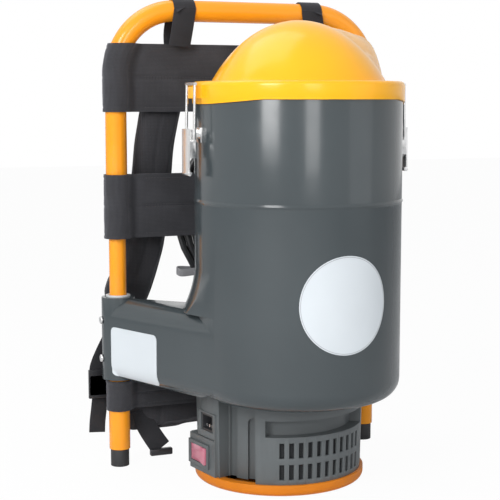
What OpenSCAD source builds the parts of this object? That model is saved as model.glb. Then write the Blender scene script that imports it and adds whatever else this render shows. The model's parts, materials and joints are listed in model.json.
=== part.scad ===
// Backpack vacuum cleaner: a winged canister with a lifting lid, a motor base and a telescopic carrying frame.
// Millimetres, +Z up. The origin is on the floor, under the middle of the cleaner, whose front faces -Y.

/* [Canister] */
// Outer radius of the canister
can_r = 115; // [108:1:122]
// Height of the canister's underside above the floor
can_bottom = 107; // [104:1:112]
// Height of the canister's rim above the floor
can_top = 437; // [410:1:470]
// Wall thickness of the canister
can_wall = 3; // [2.5:0.5:4]
// Radius round the canister's lower edge
can_edge = 22; // [14:1:26]
// Distance from the frame's plane to the canister's axis
can_setback = 154; // [150:1:160]
// Height of the bead round the canister
bead_z = 326.5; // [300:0.5:350]

/* [Wings] */
// Height of the wings' flat tops
wing_top = 204; // [190:1:215]
// Radius along the top of a wing's front face
wing_shoulder = 24; // [10:1:30]
// Height of the flare that runs from the canister's wall down to the wings' tops
flare_h = 58; // [40:1:70]
// Reach of that flare at the wings' tops
flare_out = 14; // [8:1:18]
// Outer radius of a tube socket
socket_r = 19.6; // [17:0.1:22]

/* [Lid] */
// Reach of the lid's flange beyond the canister's wall
flange_out = 2; // [1.5:0.5:4]
// Height of the lid's flange
flange_h = 19.5; // [18:0.5:24]
// Distance from the canister's wall in to the dome's foot
dome_step = 19; // [13:1:25]
// Depth of the skirt that hangs from the flange beside each latch
skirt_drop = 5; // [3:0.5:7]
// Height of the dome above the flange
dome_h = 66.5; // [55:0.5:75]
// Wall thickness of the lid
lid_wall = 3; // [2.5:0.5:4]
// Height of the hose port's hump at its mouth, above the flange
port_h = 49; // [47:0.5:54]
// Bore radius of the hose port's sleeve
hose_r = 19; // [16:0.5:21]
// Distance from the dome's foot in to the port's mouth
port_in = 1; // [0:0.5:4]
// Compass angle of the port, from +X towards +Y
port_angle = 15; // [12:1:20]

/* [Latches] */
// Distance of a lever's pivot from the canister's wall
pivot_out = 12; // [11:0.5:14]
// Height of a lever's pivot below the rim
pivot_drop = 35; // [30:1:40]
// Length of a lever below its pivot
lever_l = 44; // [36:1:50]
// Width of a lever
lever_w = 20; // [18:0.5:22]
// Distance between the lever's pivot and the bail's pivot
bail_throw = 9; // [8:0.5:10]
// Radius of the bail's wire
wire_r = 1.7; // [1.4:0.1:1.9]

/* [Motor housing] */
// Outer radius of the motor housing
motor_case_r = 97; // [94:1:100]
// Wall thickness of the motor housing
motor_case_wall = 3; // [2.5:0.5:4]
// Gap between the motor housing and the frame's plane
motor_case_gap = 6; // [5:0.5:10]
// Draft of the motor housing: the loss of radius from its top to its foot
motor_case_draft = 2; // [0:0.5:3]
// Reach of the base beyond the motor housing's top radius
base_out = 1.5; // [0.5:0.5:4]
// Radius round the base's lower edge
base_edge = 7; // [2:1:7]
// Height of the base
base_h = 13; // [12:1:14]
// Number of slots in one row of the grille
slot_count = 11; // [6:1:12]
// Angle from one slot to the next
slot_step = 6.5; // [6:0.1:7]
// Width of a slot
slot_w = 5.5; // [4:0.5:6]
// Height of a slot
slot_h = 17.5; // [14:0.5:18]
// Height of the lower row's slots above the floor
slot_row_z = 18.5; // [17:0.5:20]
// Distance from one row of slots to the next
slot_row_step = 24.5; // [22:0.5:26]
// Depth of the hollow above the grille
recess_depth = 14; // [8:1:16]
// Depth of the bay between the grille and the control panel
bay_depth = 16; // [10:1:18]

/* [Motor] */
// Distance from the canister's axis back to the motor's axis
motor_offset = 29; // [24:1:32]
// Outer radius of the fan housing
fan_r = 66; // [62:1:68]
// Height of the fan housing
fan_h = 37; // [32:1:38]
// Radius of the shaft
shaft_r = 4; // [3:0.5:5]
// Outer radius of the bearings
bearing_r = 11; // [10:0.5:13]
// Radius of the armature
armature_r = 19; // [16:0.5:21]
// Gap between the armature and the stator
air_gap = 0.6; // [0.4:0.1:1]
// Number of fan blades
blade_count = 9; // [6:1:12]

/* [Frame] */
// Distance between the axes of the frame's two legs
frame_w = 327; // [318:1:340]
// Outer diameter of the frame's tube
tube_d = 25; // [22:0.5:27]
// Wall thickness of the frame's tube
tube_wall = 2.42; // [2:0.1:3]
// Wall thickness of the inner slide tubes
slide_wall = 2; // [1.5:0.1:3]
// Radial clearance of the slide tubes
slide_fit = 0.08; // [0.04:0.01:0.1]
// Height of the top of the frame's bar
frame_top = 553; // [545:1:580]
// Radius of the frame's bends, at the tube's axis
bend_r = 75; // [60:1:85]
// Height of the lower tubes' ends above the floor
foot_h = 21; // [18:1:24]
// Travel of the frame on its slide tubes
frame_travel = 60; // [40:1:60]

/* [Fabric] */
// Distance from the top of the frame's bar down to the upper band
upper_band_drop = 51; // [48:1:60]
// Height of the upper band
upper_band_h = 80; // [60:1:85]
// Height of the middle band
mid_band_h = 76; // [60:1:80]
// Height of the lumbar band's lower edge
lumbar_band_z = 68; // [60:1:70]
// Height of the lumbar band
lumbar_band_h = 37; // [30:1:38]
// Thickness of the bands
band_t = 3; // [2:0.5:4]
// Height of the shoulder pads' lower ends above the floor
pad_bottom = 186; // [180:1:196]
// Width of the shoulder pads
pad_w = 64; // [56:1:68]
// Thickness of the shoulder pads
pad_t = 15; // [10:1:17]
// Thickness of the hip pad
hip_t = 13; // [10:1:16]
// Width of the adjusting webbing
webbing_w = 25; // [20:1:26]
// Thickness of all webbing
webbing_t = 1.6; // [1.2:0.1:2]

/* [Power lead] */
// Diameter of the lead
lead_d = 7.2; // [6:0.1:7.6]
// Turns in the lead's hank
lead_turns = 10; // [6:2:12]
// Step from one turn to the next
lead_step = 9.4; // [9.2:0.1:10]
// Half the width of the hank's innermost turn
hank_w = 42; // [38:1:44]
// Half the height of the hank's innermost turn
hank_h = 73; // [66:1:76]

/* [Hidden] */
$fn = 96;

grey = "#566064";
case_grey = "#7B7F80";
orange = "#FFB037";
tube_orange = "#FDA730";
black = "#2C2C2E";
fabric = "#3A3A3D";
steel = "#B9BEC2";
copper = "#B5693A";

// Gaps and small parts
cut = 1; // extra length of a cutting solid
soft_gap = 0.3;
touch_gap = 0.05;
pin_fit = 0.05;
pin_r = 1.5;
screw_r = 2.2;
screw_head_r = 4.5;
rivet_r = 2;

// Frame
leg_x = frame_w / 2;
tube_r = tube_d / 2;
tube_bore_r = tube_r - tube_wall;
slide_r = tube_bore_r - slide_fit;
bar_z = frame_top - tube_r;
socket_top = wing_top + 1;
lower_tube_top = wing_top - 4;
collar_h = 2.5;
leg_end = socket_top + collar_h + frame_travel + 11.5;
cap_reach = 16;
slide_bottom = foot_h + cap_reach + frame_travel + 13;
slide_top = leg_end + 60;
rivet_z = leg_end + 30;
sleeve_r = tube_r + soft_gap + band_t;

// Bands
upper_band_top = frame_top - upper_band_drop;
upper_band_z = upper_band_top - upper_band_h;
mid_band_z = leg_end - 5;
seam_w = 4;
seam_t = 0.7;

// Shoulder pad's centre line on the +X side: share of the leg's distance from the middle,
// reach behind the frame's plane, and share of the pad's height
pad_shape = [
    [0.538, 15, 1], [0.593, 15, 0.879], [0.642, 16, 0.761], [0.679, 20, 0.634], [0.691, 25, 0.503],
    [0.703, 30, 0.373], [0.728, 34, 0.258], [0.783, 36, 0.16], [0.844, 36, 0.08], [0.868, 35.5, 0.035],
    [0.868, 35.5, 0]
];
pad_top = upper_band_top - 10;
pad_line = [for (p = pad_shape) [p[0] * leg_x, p[1], pad_bottom + p[2] * (pad_top - pad_bottom)]];
pad_reach = max([for (p = pad_line) p[1]]);
back_reach = pad_reach + pad_t / 2;

// Hip belt
hip_front = sleeve_r + soft_gap - hip_t / 4;
hip_low = 24;
lock_x = leg_x + 15;
lock_back = 26;
lock_z = lumbar_band_z + 10;
lock_h = 35;
lock_w = webbing_w + 2;
lock_t = 4;
buckle_x = leg_x - 55;
buckle_z = 4;
buckle_w = 28;
buckle_h = 8.4;
buckle_t = 7;

// Depths: the origin is midway between the lid's front and the pads' backs
flange_r = can_r + flange_out;
leg_y = (can_setback + flange_r - back_reach) / 2;
can_y = leg_y - can_setback;
case_y = leg_y - motor_case_r - motor_case_gap;
motor_y = can_y + motor_offset;

// Canister
can_bore_r = can_r - can_wall;
gasket_t = 3;
floor_z = can_bottom + can_wall;
fan_z = floor_z + gasket_t;
grid_z = fan_z + fan_h + gasket_t;
grid_t = 3;
ledge = 5;
ledge_slope = 6;
basket_z = can_top - 7;
basket_r = can_bore_r - ledge - 1;
basket_bottom = grid_z + grid_t;
basket_levels = 3;
basket_step = (basket_z - basket_bottom - 30) / basket_levels;
bag_r = basket_r - 5;
bag_wall = 2;
bag_top = can_top - 12;
air_hole_r = 50;

// Wings
wing_crease_angle = -44;
wing_foot_angle = 40;
wing_wall = 3.5;

// Lid
dome_foot_r = can_r - dome_step;
port_reach = dome_foot_r - port_in;
flange_top = can_top + flange_h;
flange_edge = 5;
// The dome is the top of an ellipsoid: its upright and level half-axes, and its middle's height
dome_tall = 2.76 * dome_h;
dome_wide = dome_foot_r / sqrt(1 - pow(1 - dome_h / dome_tall, 2));
dome_z = flange_top + dome_h - dome_tall;
dome_steps = 22;
// Hump of the hose port: place of the dome's outline that it starts from, and, for each outline along it,
// the share of the way out, the share of the width and the share of the fall from the dome's top to its mouth
hump_start = 13;
hump_outlines = [[-0.12, 0.98, 0.02], [0.45, 0.79, 0.38], [0.92, 0.44, 0.82], [1, 0.37, 1]];
hump_steps = 20;
lid_groove = 3;
lug_arc_r = 5;
lug_out = 9;
lug_w = 18;
lug_z = can_top + 11;
port_z = flange_top + 22;
sleeve_start = dome_foot_r - 39;
sleeve_wall = 2.5;
skirt_half = 0.73 * flange_r;
skirt_r = (skirt_half * skirt_half + skirt_drop * skirt_drop) / (2 * skirt_drop);

// Latches
pivot_x = can_r + pivot_out;
pivot_z = can_top - pivot_drop;
bail_pivot_z = pivot_z - bail_throw;
lug_x = can_r + lug_out - lug_arc_r + 2;
bar_reach = lug_arc_r + wire_r + soft_gap;
bar_angle = 42;
bail_bar_x = lug_x + bar_reach * sin(bar_angle);
bail_bar_z = lug_z + bar_reach * cos(bar_angle);
bail_half_w = lever_w / 2 + wire_r + 0.7;
ear_t = 2.4;
cheek_t = 2;

// Motor
bell_z = 24;
bell_t = 10;
bell_r = 44;
plate_t = 9;
post_r = 4;
post_place = bell_r - post_r;
stator_z = bell_z + bell_t + 16;
stator_h = fan_z - plate_t - bell_z - bell_t - 30;
stator_r = 38;
bearing_t = 8;
bearing_fit = 0.02;

// Motor housing
base_r = motor_case_r + base_out;
case_top = can_bottom;
case_bore_r = motor_case_r - motor_case_wall;
grille_start = -21.7;
grille_mid = grille_start + (slot_count - 1) * slot_step / 2;
grille_half = (slot_count - 1) * slot_step / 2 + 11;
recess_z = 67;
recess_h = 18.5;
recess_r = motor_case_r - recess_depth;
bay_from = -68;
bay_to = -39.5;
bay_r = motor_case_r - bay_depth;
bay_step = 4;
boss_r = 8.5;
boss_h = 14;
boss_gap = 0.4;
boss_place = motor_case_r - 11;
panel_angle = 9;
panel_x = motor_case_r + 0.5;
panel_front = -18.5;
panel_back = 39;
panel_h = 42;
panel_t = 20;
inlet_panel_back = 20.5;
inlet_panel_h = 30;
rocker_y = 17;
rocker_z = 23;
rocker_w = 37;
rocker_h = 20;
rocker_pivot = 2;
frame_lip = 2;
frame_depth = 11;
inlet_z = 63;
inlet_w = 27;
inlet_h = 20;
inlet_depth = 16;

// Power lead
lead_layer = 8;
lead_rings = 24;
hank_back = band_t + lead_d / 2 + soft_gap;
hank_mid_z = mid_band_z + 14;
waist_z = hank_mid_z - 58;
near_end_back = hank_back + 4.5;
far_end_back = hank_back + lead_layer;
plug_r = 8;
plug_l = 30;

function unit(v) = v / norm(v);
function heading(line, i) = unit(line[min(i + 1, len(line) - 1)] - line[max(i - 1, 0)]);
// Points of an arc in a plane
function arc(c, r, from, to, steps) =
    [for (i = [0 : steps]) let (a = from + (to - from) * i / steps) c + r * [cos(a), sin(a)]];
// The pad line and other routes, moved from the frame's plane to their place
function placed(line, side) = [for (p = line) [side * p[0], leg_y + p[1], p[2]]];

// Closed skin over rings of equally many points; the first and last rings are closed by fans
module skin(rings) {
    n = len(rings[0]);
    m = len(rings);
    points = [for (ring = rings) each ring];
    sides = [for (i = [0 : m - 2], j = [0 : n - 1])
        let (k = (j + 1) % n)
        each [[i * n + j, i * n + k, (i + 1) * n + j], [i * n + k, (i + 1) * n + k, (i + 1) * n + j]]];
    first = [for (j = [1 : n - 2]) [0, j + 1, j]];
    last = [for (j = [1 : n - 2]) [(m - 1) * n, (m - 1) * n + j, (m - 1) * n + j + 1]];
    polyhedron(points, concat(first, sides, last));
}

// Flat strap along a line; across is the unit direction of its width
module webbing(line, across, width, thick) {
    skin([for (i = [0 : len(line) - 1])
        let (out = unit(cross(heading(line, i), across)))
        [for (c = [[-1, -1], [1, -1], [1, 1], [-1, 1]])
            line[i] + across * width / 2 * c[0] + out * thick / 2 * c[1]]]);
}

// Round tube along a line that lies nearly in an XZ plane
module swept_tube(line, r, sides) {
    skin([for (i = [0 : len(line) - 1])
        let (t = heading(line, i), u = unit(cross([0, 1, 0], t)), v = cross(t, u))
        [for (k = [0 : sides - 1]) line[i] + r * (cos(360 * k / sides) * u + sin(360 * k / sides) * v)]]);
}

// Padded strap along a line: crowned faces and drawn-in edges, narrowed at both ends
module cushion_strap(line, width, thick) {
    last = len(line) - 1;
    skin([for (i = [0 : last])
        let (t = heading(line, i),
            out = unit(cross(t, [1, 0, 0])),
            across = cross(out, t),
            end = (i == 0 || i == last) ? 0.55 : (i == 1 || i == last - 1) ? 0.93 : 1)
        [for (k = [0 : 15])
            let (a = 360 * k / 16, c = cos(a), s = sin(a))
            line[i] + across * width / 2 * (0.6 + 0.4 * end) * sign(c) * pow(abs(c), 0.55)
                + out * thick / 2 * end * sign(s) * pow(abs(s), 0.8)]]);
}

module at_can() translate([0, can_y, 0]) children();
module at_case() translate([0, case_y, 0]) children();
module at_motor() translate([0, motor_y, 0]) children();
module at_legs() for (side = [-1, 1]) translate([side * leg_x, leg_y, 0]) children();
module both_sides() {
    children();
    mirror([1, 0, 0]) children();
}
module ring(outer, inner, h) {
    difference() {
        cylinder(r = outer, h = h);
        translate([0, 0, -cut]) cylinder(r = inner, h = h + 2 * cut);
    }
}

// Part of a ring between two angles, counted from the front (-Y) towards +X
module sector(from, to, inner, outer, h) {
    rotate([0, 0, from - 90]) rotate_extrude(angle = to - from)
        translate([inner, 0]) square([outer - inner, h]);
}

// Canister shell as a turned profile: bottom, bead, rim, basket ledge and grid ledge
module canister_profile() {
    out_arc = arc([can_r - can_edge, can_bottom + can_edge], can_edge, -90, 0, 8);
    in_arc = arc([can_r - can_edge, can_bottom + can_edge], can_edge - can_wall, 0, -90, 8);
    polygon(concat(
        [[0, can_bottom]],
        out_arc,
        [[can_r, bead_z - 2.5], [can_r + 1.4, bead_z], [can_r, bead_z + 2.5], [can_r, can_top]],
        [[can_bore_r, can_top], [can_bore_r, basket_z], [can_bore_r - ledge, basket_z],
            [can_bore_r - ledge, basket_z - grid_t], [can_bore_r, basket_z - grid_t - ledge_slope]],
        [[can_bore_r, grid_z], [can_bore_r - ledge, grid_z], [can_bore_r - ledge, grid_z - grid_t],
            [can_bore_r, grid_z - grid_t - ledge_slope]],
        in_arc,
        [[0, floor_z]]));
}

// Plan of the +X wing in the canister's own frame: front face nearly tangent to the canister,
// back face nearly radial, outer end inside the socket
function wing_crease() = [leg_x, can_setback] + socket_r * [cos(wing_crease_angle), sin(wing_crease_angle)];
function wing_touch() =
    let (p = wing_crease(), d = norm(p), a = atan2(p[1], p[0]) - acos((can_r - 0.8) / d))
    (can_r - 0.8) * [cos(a), sin(a)];
function wing_front() = unit(wing_crease() - wing_touch());
function wing_foot() = (can_r - 2) * [cos(wing_foot_angle), sin(wing_foot_angle)];
function wing_heel() = [leg_x - socket_r * 0.5, can_setback - socket_r * 0.62];
function turned(v) = [-v[1], v[0]];

module wing_plan() {
    polygon([
        [0, 0],
        wing_touch(),
        wing_crease() + 8 * wing_front(),
        [leg_x, can_setback],
        wing_heel(),
        wing_foot()
    ]);
}

// Rounded section of a wing, seen along its front face, whose plane is the section's right edge
module wing_section(inset, low) {
    depth = 150;
    polygon(concat(
        [[-depth, low], [-can_edge, low]],
        arc([-can_edge, can_bottom + can_edge], can_edge - inset, -90, 0, 8),
        arc([-wing_shoulder, wing_top - wing_shoulder], wing_shoulder - inset, 0, 90, 8),
        [[-depth, wing_top - inset]]));
}

module along_wing() {
    front = wing_front();
    translate([wing_touch()[0], wing_touch()[1], 0])
        rotate([0, 0, atan2(front[1], front[0]) - 90])
        translate([0, 260, 0]) rotate([90, 0, 0]) linear_extrude(400) children();
}

module wing() {
    intersection() {
        translate([0, 0, can_bottom]) linear_extrude(wing_top - can_bottom) wing_plan();
        along_wing() wing_section(0, can_bottom);
    }
}

// Hollow of a wing, open below
module wing_pocket() {
    back = unit(wing_heel() - wing_foot());
    difference() {
        intersection() {
            translate([0, 0, can_bottom - cut]) linear_extrude(wing_top - can_bottom) polygon([
                wing_touch() + wing_wall * turned(wing_front()),
                wing_crease() + wing_wall * turned(wing_front()),
                wing_heel() - wing_wall * turned(back),
                wing_foot() - wing_wall * turned(back)
            ]);
            along_wing() wing_section(wing_wall, can_bottom - 2 * cut);
        }
        cylinder(r = can_r + touch_gap, h = can_top);
        translate([leg_x, can_setback, 0]) cylinder(r = socket_r, h = can_top);
    }
}

// Concave flare above the wings, cut to their plan
module wing_flare() {
    r = (flare_h * flare_h + flare_out * flare_out) / (2 * flare_out);
    sweep = asin(flare_h / r);
    intersection() {
        translate([0, 0, wing_top - 2]) linear_extrude(flare_h + 4) wing_plan();
        rotate_extrude() polygon(concat(
            [[can_bore_r + 1, wing_top - 1], [can_r + flare_out - 0.4, wing_top - 1]],
            arc([can_r + r - 0.4, wing_top + flare_h], r, 180 + sweep, 180, 10),
            [[can_bore_r + 1, wing_top + flare_h]]));
    }
}

module canister_housing() color(grey) difference() {
    union() {
        at_can() difference() {
            union() {
                both_sides() wing();
                both_sides() wing_flare();
            }
            translate([0, 0, can_bottom - cut]) cylinder(r = can_r - can_wall / 2, h = can_top);
            both_sides() wing_pocket();
        }
        at_can() rotate_extrude() canister_profile();
        at_legs() translate([0, 0, can_bottom]) cylinder(r = socket_r, h = socket_top - can_bottom);
    }
    at_legs() translate([0, 0, can_bottom - cut]) cylinder(r = tube_r + pin_fit, h = can_top);
    at_motor() translate([0, 0, can_bottom - cut]) cylinder(r = air_hole_r, h = can_wall + 2 * cut);
    at_socket_screws() cylinder(r = screw_r + pin_fit, h = socket_r);
}

module intake_grid() color(black) at_can() translate([0, 0, grid_z]) difference() {
    cylinder(r = can_bore_r - 0.3, h = grid_t);
    for (row = [-3 : 3], i = [-4 : 4])
        if (norm([i * 20, row * 22]) < can_bore_r - 22)
            translate([i * 20 - 7, row * 22 - 4, -cut]) cube([14, 8, grid_t + 2 * cut]);
}

module filter_basket() color(black) at_can() difference() {
    window_w = 32;
    union() {
        translate([0, 0, basket_bottom]) cylinder(r = basket_r, h = basket_z - basket_bottom + 1);
        translate([0, 0, basket_z]) cylinder(r = can_bore_r - 0.4, h = 3);
    }
    translate([0, 0, basket_bottom + 2]) cylinder(r = basket_r - 2, h = can_top);
    for (a = [0 : 30 : 330], level = [0 : basket_levels - 1]) rotate([0, 0, a])
        translate([basket_r - 8, -window_w / 2, basket_bottom + 18 + level * basket_step])
        cube([16, window_w, basket_step - 18]);
    for (a = [0 : 60 : 300]) rotate([0, 0, a])
        translate([20, -8, basket_bottom - cut]) cube([60, 16, 2 + 2 * cut]);
}

// Turned outline of the bag, drawn in by an inset
module bag_solid(inset) {
    low = basket_bottom + 2;
    rotate_extrude() polygon(concat(
        [[0, low + inset]],
        arc([bag_r - 14, low + 14], 14 - inset, -90, 0, 6),
        arc([bag_r - 30, bag_top - 30], 30 - inset, 0, 90, 6),
        [[0, bag_top - inset]]));
}

module dust_bag() color("#E8E2D2") at_can() difference() {
    bag_solid(0);
    bag_solid(bag_wall);
    translate([0, 0, bag_top - 10]) cylinder(r = hose_r + 1, h = 20);
}

module bag_collar() color("#C9A36A") at_can() translate([0, 0, bag_top]) ring(48, hose_r + 1, 3);

// Dome, flange, skirts, two keeper lugs and the hump of the hose port
module lid_outside() {
    rotate_extrude() polygon(concat(
        [[0, can_top], [flange_r, can_top]],
        arc([flange_r - flange_edge, flange_top - flange_edge], flange_edge, 0, 90, 6),
        [[0, flange_top]]));
    dome(0);
    intersection() {
        translate([0, 0, can_top - skirt_drop]) ring(flange_r, can_r + soft_gap, skirt_drop + 1);
        translate([0, 0, can_top - skirt_drop + skirt_r]) rotate([0, 90, 0])
            cylinder(r = skirt_r, h = 3 * flange_r, center = true, $fn = 360);
    }
    both_sides() keeper_lug();
    port_hump(0);
}

// Dome down to the middle of the flange, inset from its outer skin
module dome(inset) {
    start = asin((flange_top - flange_h / 2 - dome_z) / (dome_tall - inset));
    translate([0, 0, dome_z]) rotate_extrude() polygon(concat(
        [[0, (dome_tall - inset) * sin(start)]],
        [for (i = [0 : dome_steps]) let (a = start + (90 - start) * i / dome_steps)
            [(dome_wide - inset) * cos(a), (dome_tall - inset) * sin(a)]]));
}

// Arched hump from the dome out to the port's mouth, inset from its outer skin
module port_hump(inset) {
    shrink = sqrt(1 - pow(hump_start / (dome_wide - inset), 2));
    wide = (dome_wide - inset) * shrink;
    tall = (dome_tall - inset) * shrink;
    foot = acos((flange_top - 1.5 - dome_z) / tall);
    crown = dome_z + tall - flange_top;
    rotate([0, 0, port_angle]) skin([for (o = hump_outlines)
        let (height = 1 - o[2] * (1 - (port_h - inset) / crown))
        [for (i = [0 : hump_steps]) let (a = foot * (1 - 2 * i / hump_steps))
            [hump_start + o[0] * (port_reach - hump_start - inset), -o[1] * wide * sin(a),
                flange_top + height * (dome_z + tall * cos(a) - flange_top)]]]);
}

// Places a piece on the hose port's axis: its +Z runs out from the lid's axis through the port
module at_port() translate([0, 0, port_z]) rotate([0, 0, port_angle]) rotate([0, 90, 0]) children();

module keeper_lug() {
    translate([0, lug_w / 2, 0]) rotate([90, 0, 0]) linear_extrude(lug_w) polygon(concat(
        [[can_r - 2, can_top + 1], [lug_x + lug_arc_r, can_top + 1]],
        arc([lug_x, lug_z], lug_arc_r, 0, 90, 8),
        [[can_r - 2, lug_z + lug_arc_r]]));
}

// Socket that holds the sleeve behind the port's mouth
module port_socket() at_port() translate([0, 0, sleeve_start])
    cylinder(r = hose_r + sleeve_wall + lid_wall, h = port_reach - lid_wall + 0.5 - sleeve_start);

module lid() color(orange) at_can() difference() {
    union() {
        difference() {
            lid_outside();
            translate([0, 0, can_top - cut]) cylinder(r = can_bore_r, h = flange_h - lid_wall + cut);
            dome(lid_wall);
            port_hump(lid_wall);
        }
        port_socket();
    }
    translate([0, 0, can_top - cut]) ring(can_r, can_bore_r - 1, lid_groove + cut);
    at_port() cylinder(r = hose_r + sleeve_wall + 0.1, h = flange_r + 10);
}

module lid_gasket() color(black) at_can() translate([0, 0, can_top])
    ring(can_r - touch_gap, can_bore_r + 0.2, lid_groove);

// Sleeve in the port, from inside the dome to just past the port's mouth
module hose_socket() color(black) at_can() at_port() translate([0, 0, sleeve_start])
    ring(hose_r + sleeve_wall, hose_r, port_reach + 2 - sleeve_start);

module latch_base() {
    difference() {
        union() {
            translate([can_r - 2, -lever_w / 2 + cheek_t, pivot_z - 11]) cube([5, lever_w - 2 * cheek_t, 16]);
            for (y = [-lever_w / 2 + ear_t, lever_w / 2 - 2 * ear_t]) translate([0, y, 0]) {
                translate([can_r + 2, 0, pivot_z - 5]) cube([pivot_out - 2, ear_t, 8]);
                translate([pivot_x, 0, pivot_z]) rotate([-90, 0, 0]) cylinder(r = 3.4, h = ear_t);
            }
        }
        cylinder(r = can_r, h = can_top);
        translate([pivot_x, 0, pivot_z]) rotate([90, 0, 0]) cylinder(r = pin_r, h = 2 * lever_w, center = true);
    }
}
module latch_bases() color(steel) at_can() both_sides() latch_base();

module latch_pins() color(steel) at_can() both_sides()
    translate([pivot_x, 0, pivot_z]) rotate([90, 0, 0]) cylinder(r = pin_r, h = lever_w - 0.2, center = true);

// Channel-shaped lever, hanging from its pivot
module lever() {
    cheek_r = 3.5;
    cheek_h = lever_l * 0.62;
    difference() {
        union() {
            translate([pivot_x + 3.8, -lever_w / 2, pivot_z - lever_l]) cube([2, lever_w, lever_l + cheek_r]);
            for (y = [-lever_w / 2, lever_w / 2 - cheek_t]) translate([pivot_x, y, pivot_z]) {
                translate([-cheek_r, 0, -cheek_h]) cube([2 * cheek_r + 0.5, cheek_t, cheek_h]);
                rotate([-90, 0, 0]) cylinder(r = cheek_r, h = cheek_t);
                cube([5, cheek_t, cheek_r]);
            }
            translate([pivot_x + 4, 0, pivot_z - lever_l]) rotate([90, 0, 0])
                cylinder(r = 2.4, h = lever_w, center = true);
        }
        translate([pivot_x, 0, pivot_z]) rotate([90, 0, 0])
            cylinder(r = pin_r + pin_fit, h = 2 * lever_w, center = true);
        translate([pivot_x, 0, bail_pivot_z]) rotate([90, 0, 0])
            cylinder(r = wire_r + pin_fit, h = 2 * lever_w, center = true);
    }
}
module lever_left() color(steel) at_can() mirror([1, 0, 0]) lever();
module lever_right() color(steel) at_can() lever();

// Bent wire: top bar, two sides and two turned-in ends
module bail() {
    foot = [pivot_x, 0, bail_pivot_z];
    bar = [bail_bar_x, 0, bail_bar_z];
    arm = bar - foot;
    translate(bar) rotate([90, 0, 0]) cylinder(r = wire_r, h = 2 * bail_half_w + 2 * wire_r, center = true);
    for (side = [-1, 1]) {
        translate([foot[0], side * bail_half_w, foot[2]])
            rotate([0, atan2(arm[0], arm[2]), 0]) cylinder(r = wire_r - 0.1, h = norm(arm));
        translate([foot[0], side * (lever_w / 2 - 1.6), foot[2]])
            rotate([-90 * side, 0, 0]) cylinder(r = wire_r, h = bail_half_w + wire_r - lever_w / 2 + 1.6);
    }
}
module bail_left() color(steel) at_can() mirror([1, 0, 0]) bail();
module bail_right() color(steel) at_can() bail();

module motor_gasket() color(black) at_motor() {
    translate([0, 0, floor_z]) ring(fan_r - 2, air_hole_r + 2, gasket_t);
    translate([0, 0, fan_z + fan_h]) ring(34, 24, gasket_t);
}

module fan_housing() color(steel) at_motor() translate([0, 0, fan_z]) difference() {
    cylinder(r = fan_r, h = fan_h);
    translate([0, 0, 2]) cylinder(r = fan_r - 1.5, h = fan_h - 4);
    translate([0, 0, -cut]) cylinder(r = shaft_r + 3, h = 4);
    for (a = [0 : 60 : 300]) rotate([0, 0, a]) translate([34, 0, -cut]) cylinder(r = 5, h = 4);
    translate([0, 0, fan_h - 3]) cylinder(r = 22, h = 4);
}

module impeller() color(steel) at_motor() translate([0, 0, fan_z + 6]) difference() {
    hub_h = fan_h - 13;
    union() {
        cylinder(r = fan_r - 8, h = 1.5);
        cylinder(r = 11, h = hub_h);
        for (i = [0 : blade_count - 1]) rotate([0, 0, i * 360 / blade_count])
            translate([8, 6, 1]) rotate([0, 0, -24]) cube([fan_r - 24, 1.2, hub_h - 4]);
    }
    translate([0, 0, -cut]) cylinder(r = shaft_r, h = hub_h + 2 * cut);
}

module shaft() color(steel) at_motor() translate([0, 0, bell_z])
    cylinder(r = shaft_r, h = fan_z + fan_h - 6 - bell_z);

module armature() color(copper) at_motor() translate([0, 0, stator_z]) difference() {
    coil_h = 6;
    union() {
        cylinder(r = armature_r, h = stator_h);
        translate([0, 0, -coil_h]) cylinder(r = armature_r - 3, h = stator_h + 2 * coil_h);
    }
    translate([0, 0, -coil_h - cut]) cylinder(r = shaft_r, h = stator_h + 2 * coil_h + 2 * cut);
    for (i = [0 : 11]) rotate([0, 0, i * 30])
        translate([armature_r - 2, -1, -cut]) cube([4, 2, stator_h + 2 * cut]);
}

module commutator() color(copper) at_motor() translate([0, 0, bell_z + bell_t + 1]) ring(12, shaft_r, 8);

module upper_bearing() color(steel) at_motor() translate([0, 0, fan_z - bearing_t])
    ring(bearing_r, shaft_r + bearing_fit, bearing_t);
module lower_bearing() color(steel) at_motor() translate([0, 0, bell_z + 1])
    ring(bearing_r, shaft_r + bearing_fit, bearing_t);

// Lower bell and upper plate on four posts, with the bearings' seats and air holes
module motor_frame() color(steel) at_motor() difference() {
    union() {
        translate([0, 0, bell_z]) cylinder(r = bell_r, h = bell_t);
        translate([0, 0, fan_z - plate_t]) cylinder(r = bell_r, h = plate_t);
        for (a = [45 : 90 : 315]) rotate([0, 0, a])
            translate([post_place, 0, bell_z]) cylinder(r = post_r, h = fan_z - 2 - bell_z);
    }
    translate([0, 0, bell_z + 1]) cylinder(r = bearing_r, h = bell_t);
    translate([0, 0, bell_z - cut]) cylinder(r = shaft_r + 1, h = bell_t);
    translate([0, 0, fan_z - bearing_t]) cylinder(r = bearing_r, h = bearing_t + cut);
    translate([0, 0, fan_z - plate_t - cut]) cylinder(r = shaft_r + 1, h = plate_t);
    for (a = [0 : 90 : 270]) rotate([0, 0, a])
        translate([28, 0, bell_z - cut]) cylinder(r = 8, h = bell_t + 2 * cut);
    for (a = [0 : 60 : 300]) rotate([0, 0, a])
        translate([30, 0, fan_z - plate_t - cut]) cylinder(r = 7, h = plate_t + 2 * cut);
}

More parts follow.
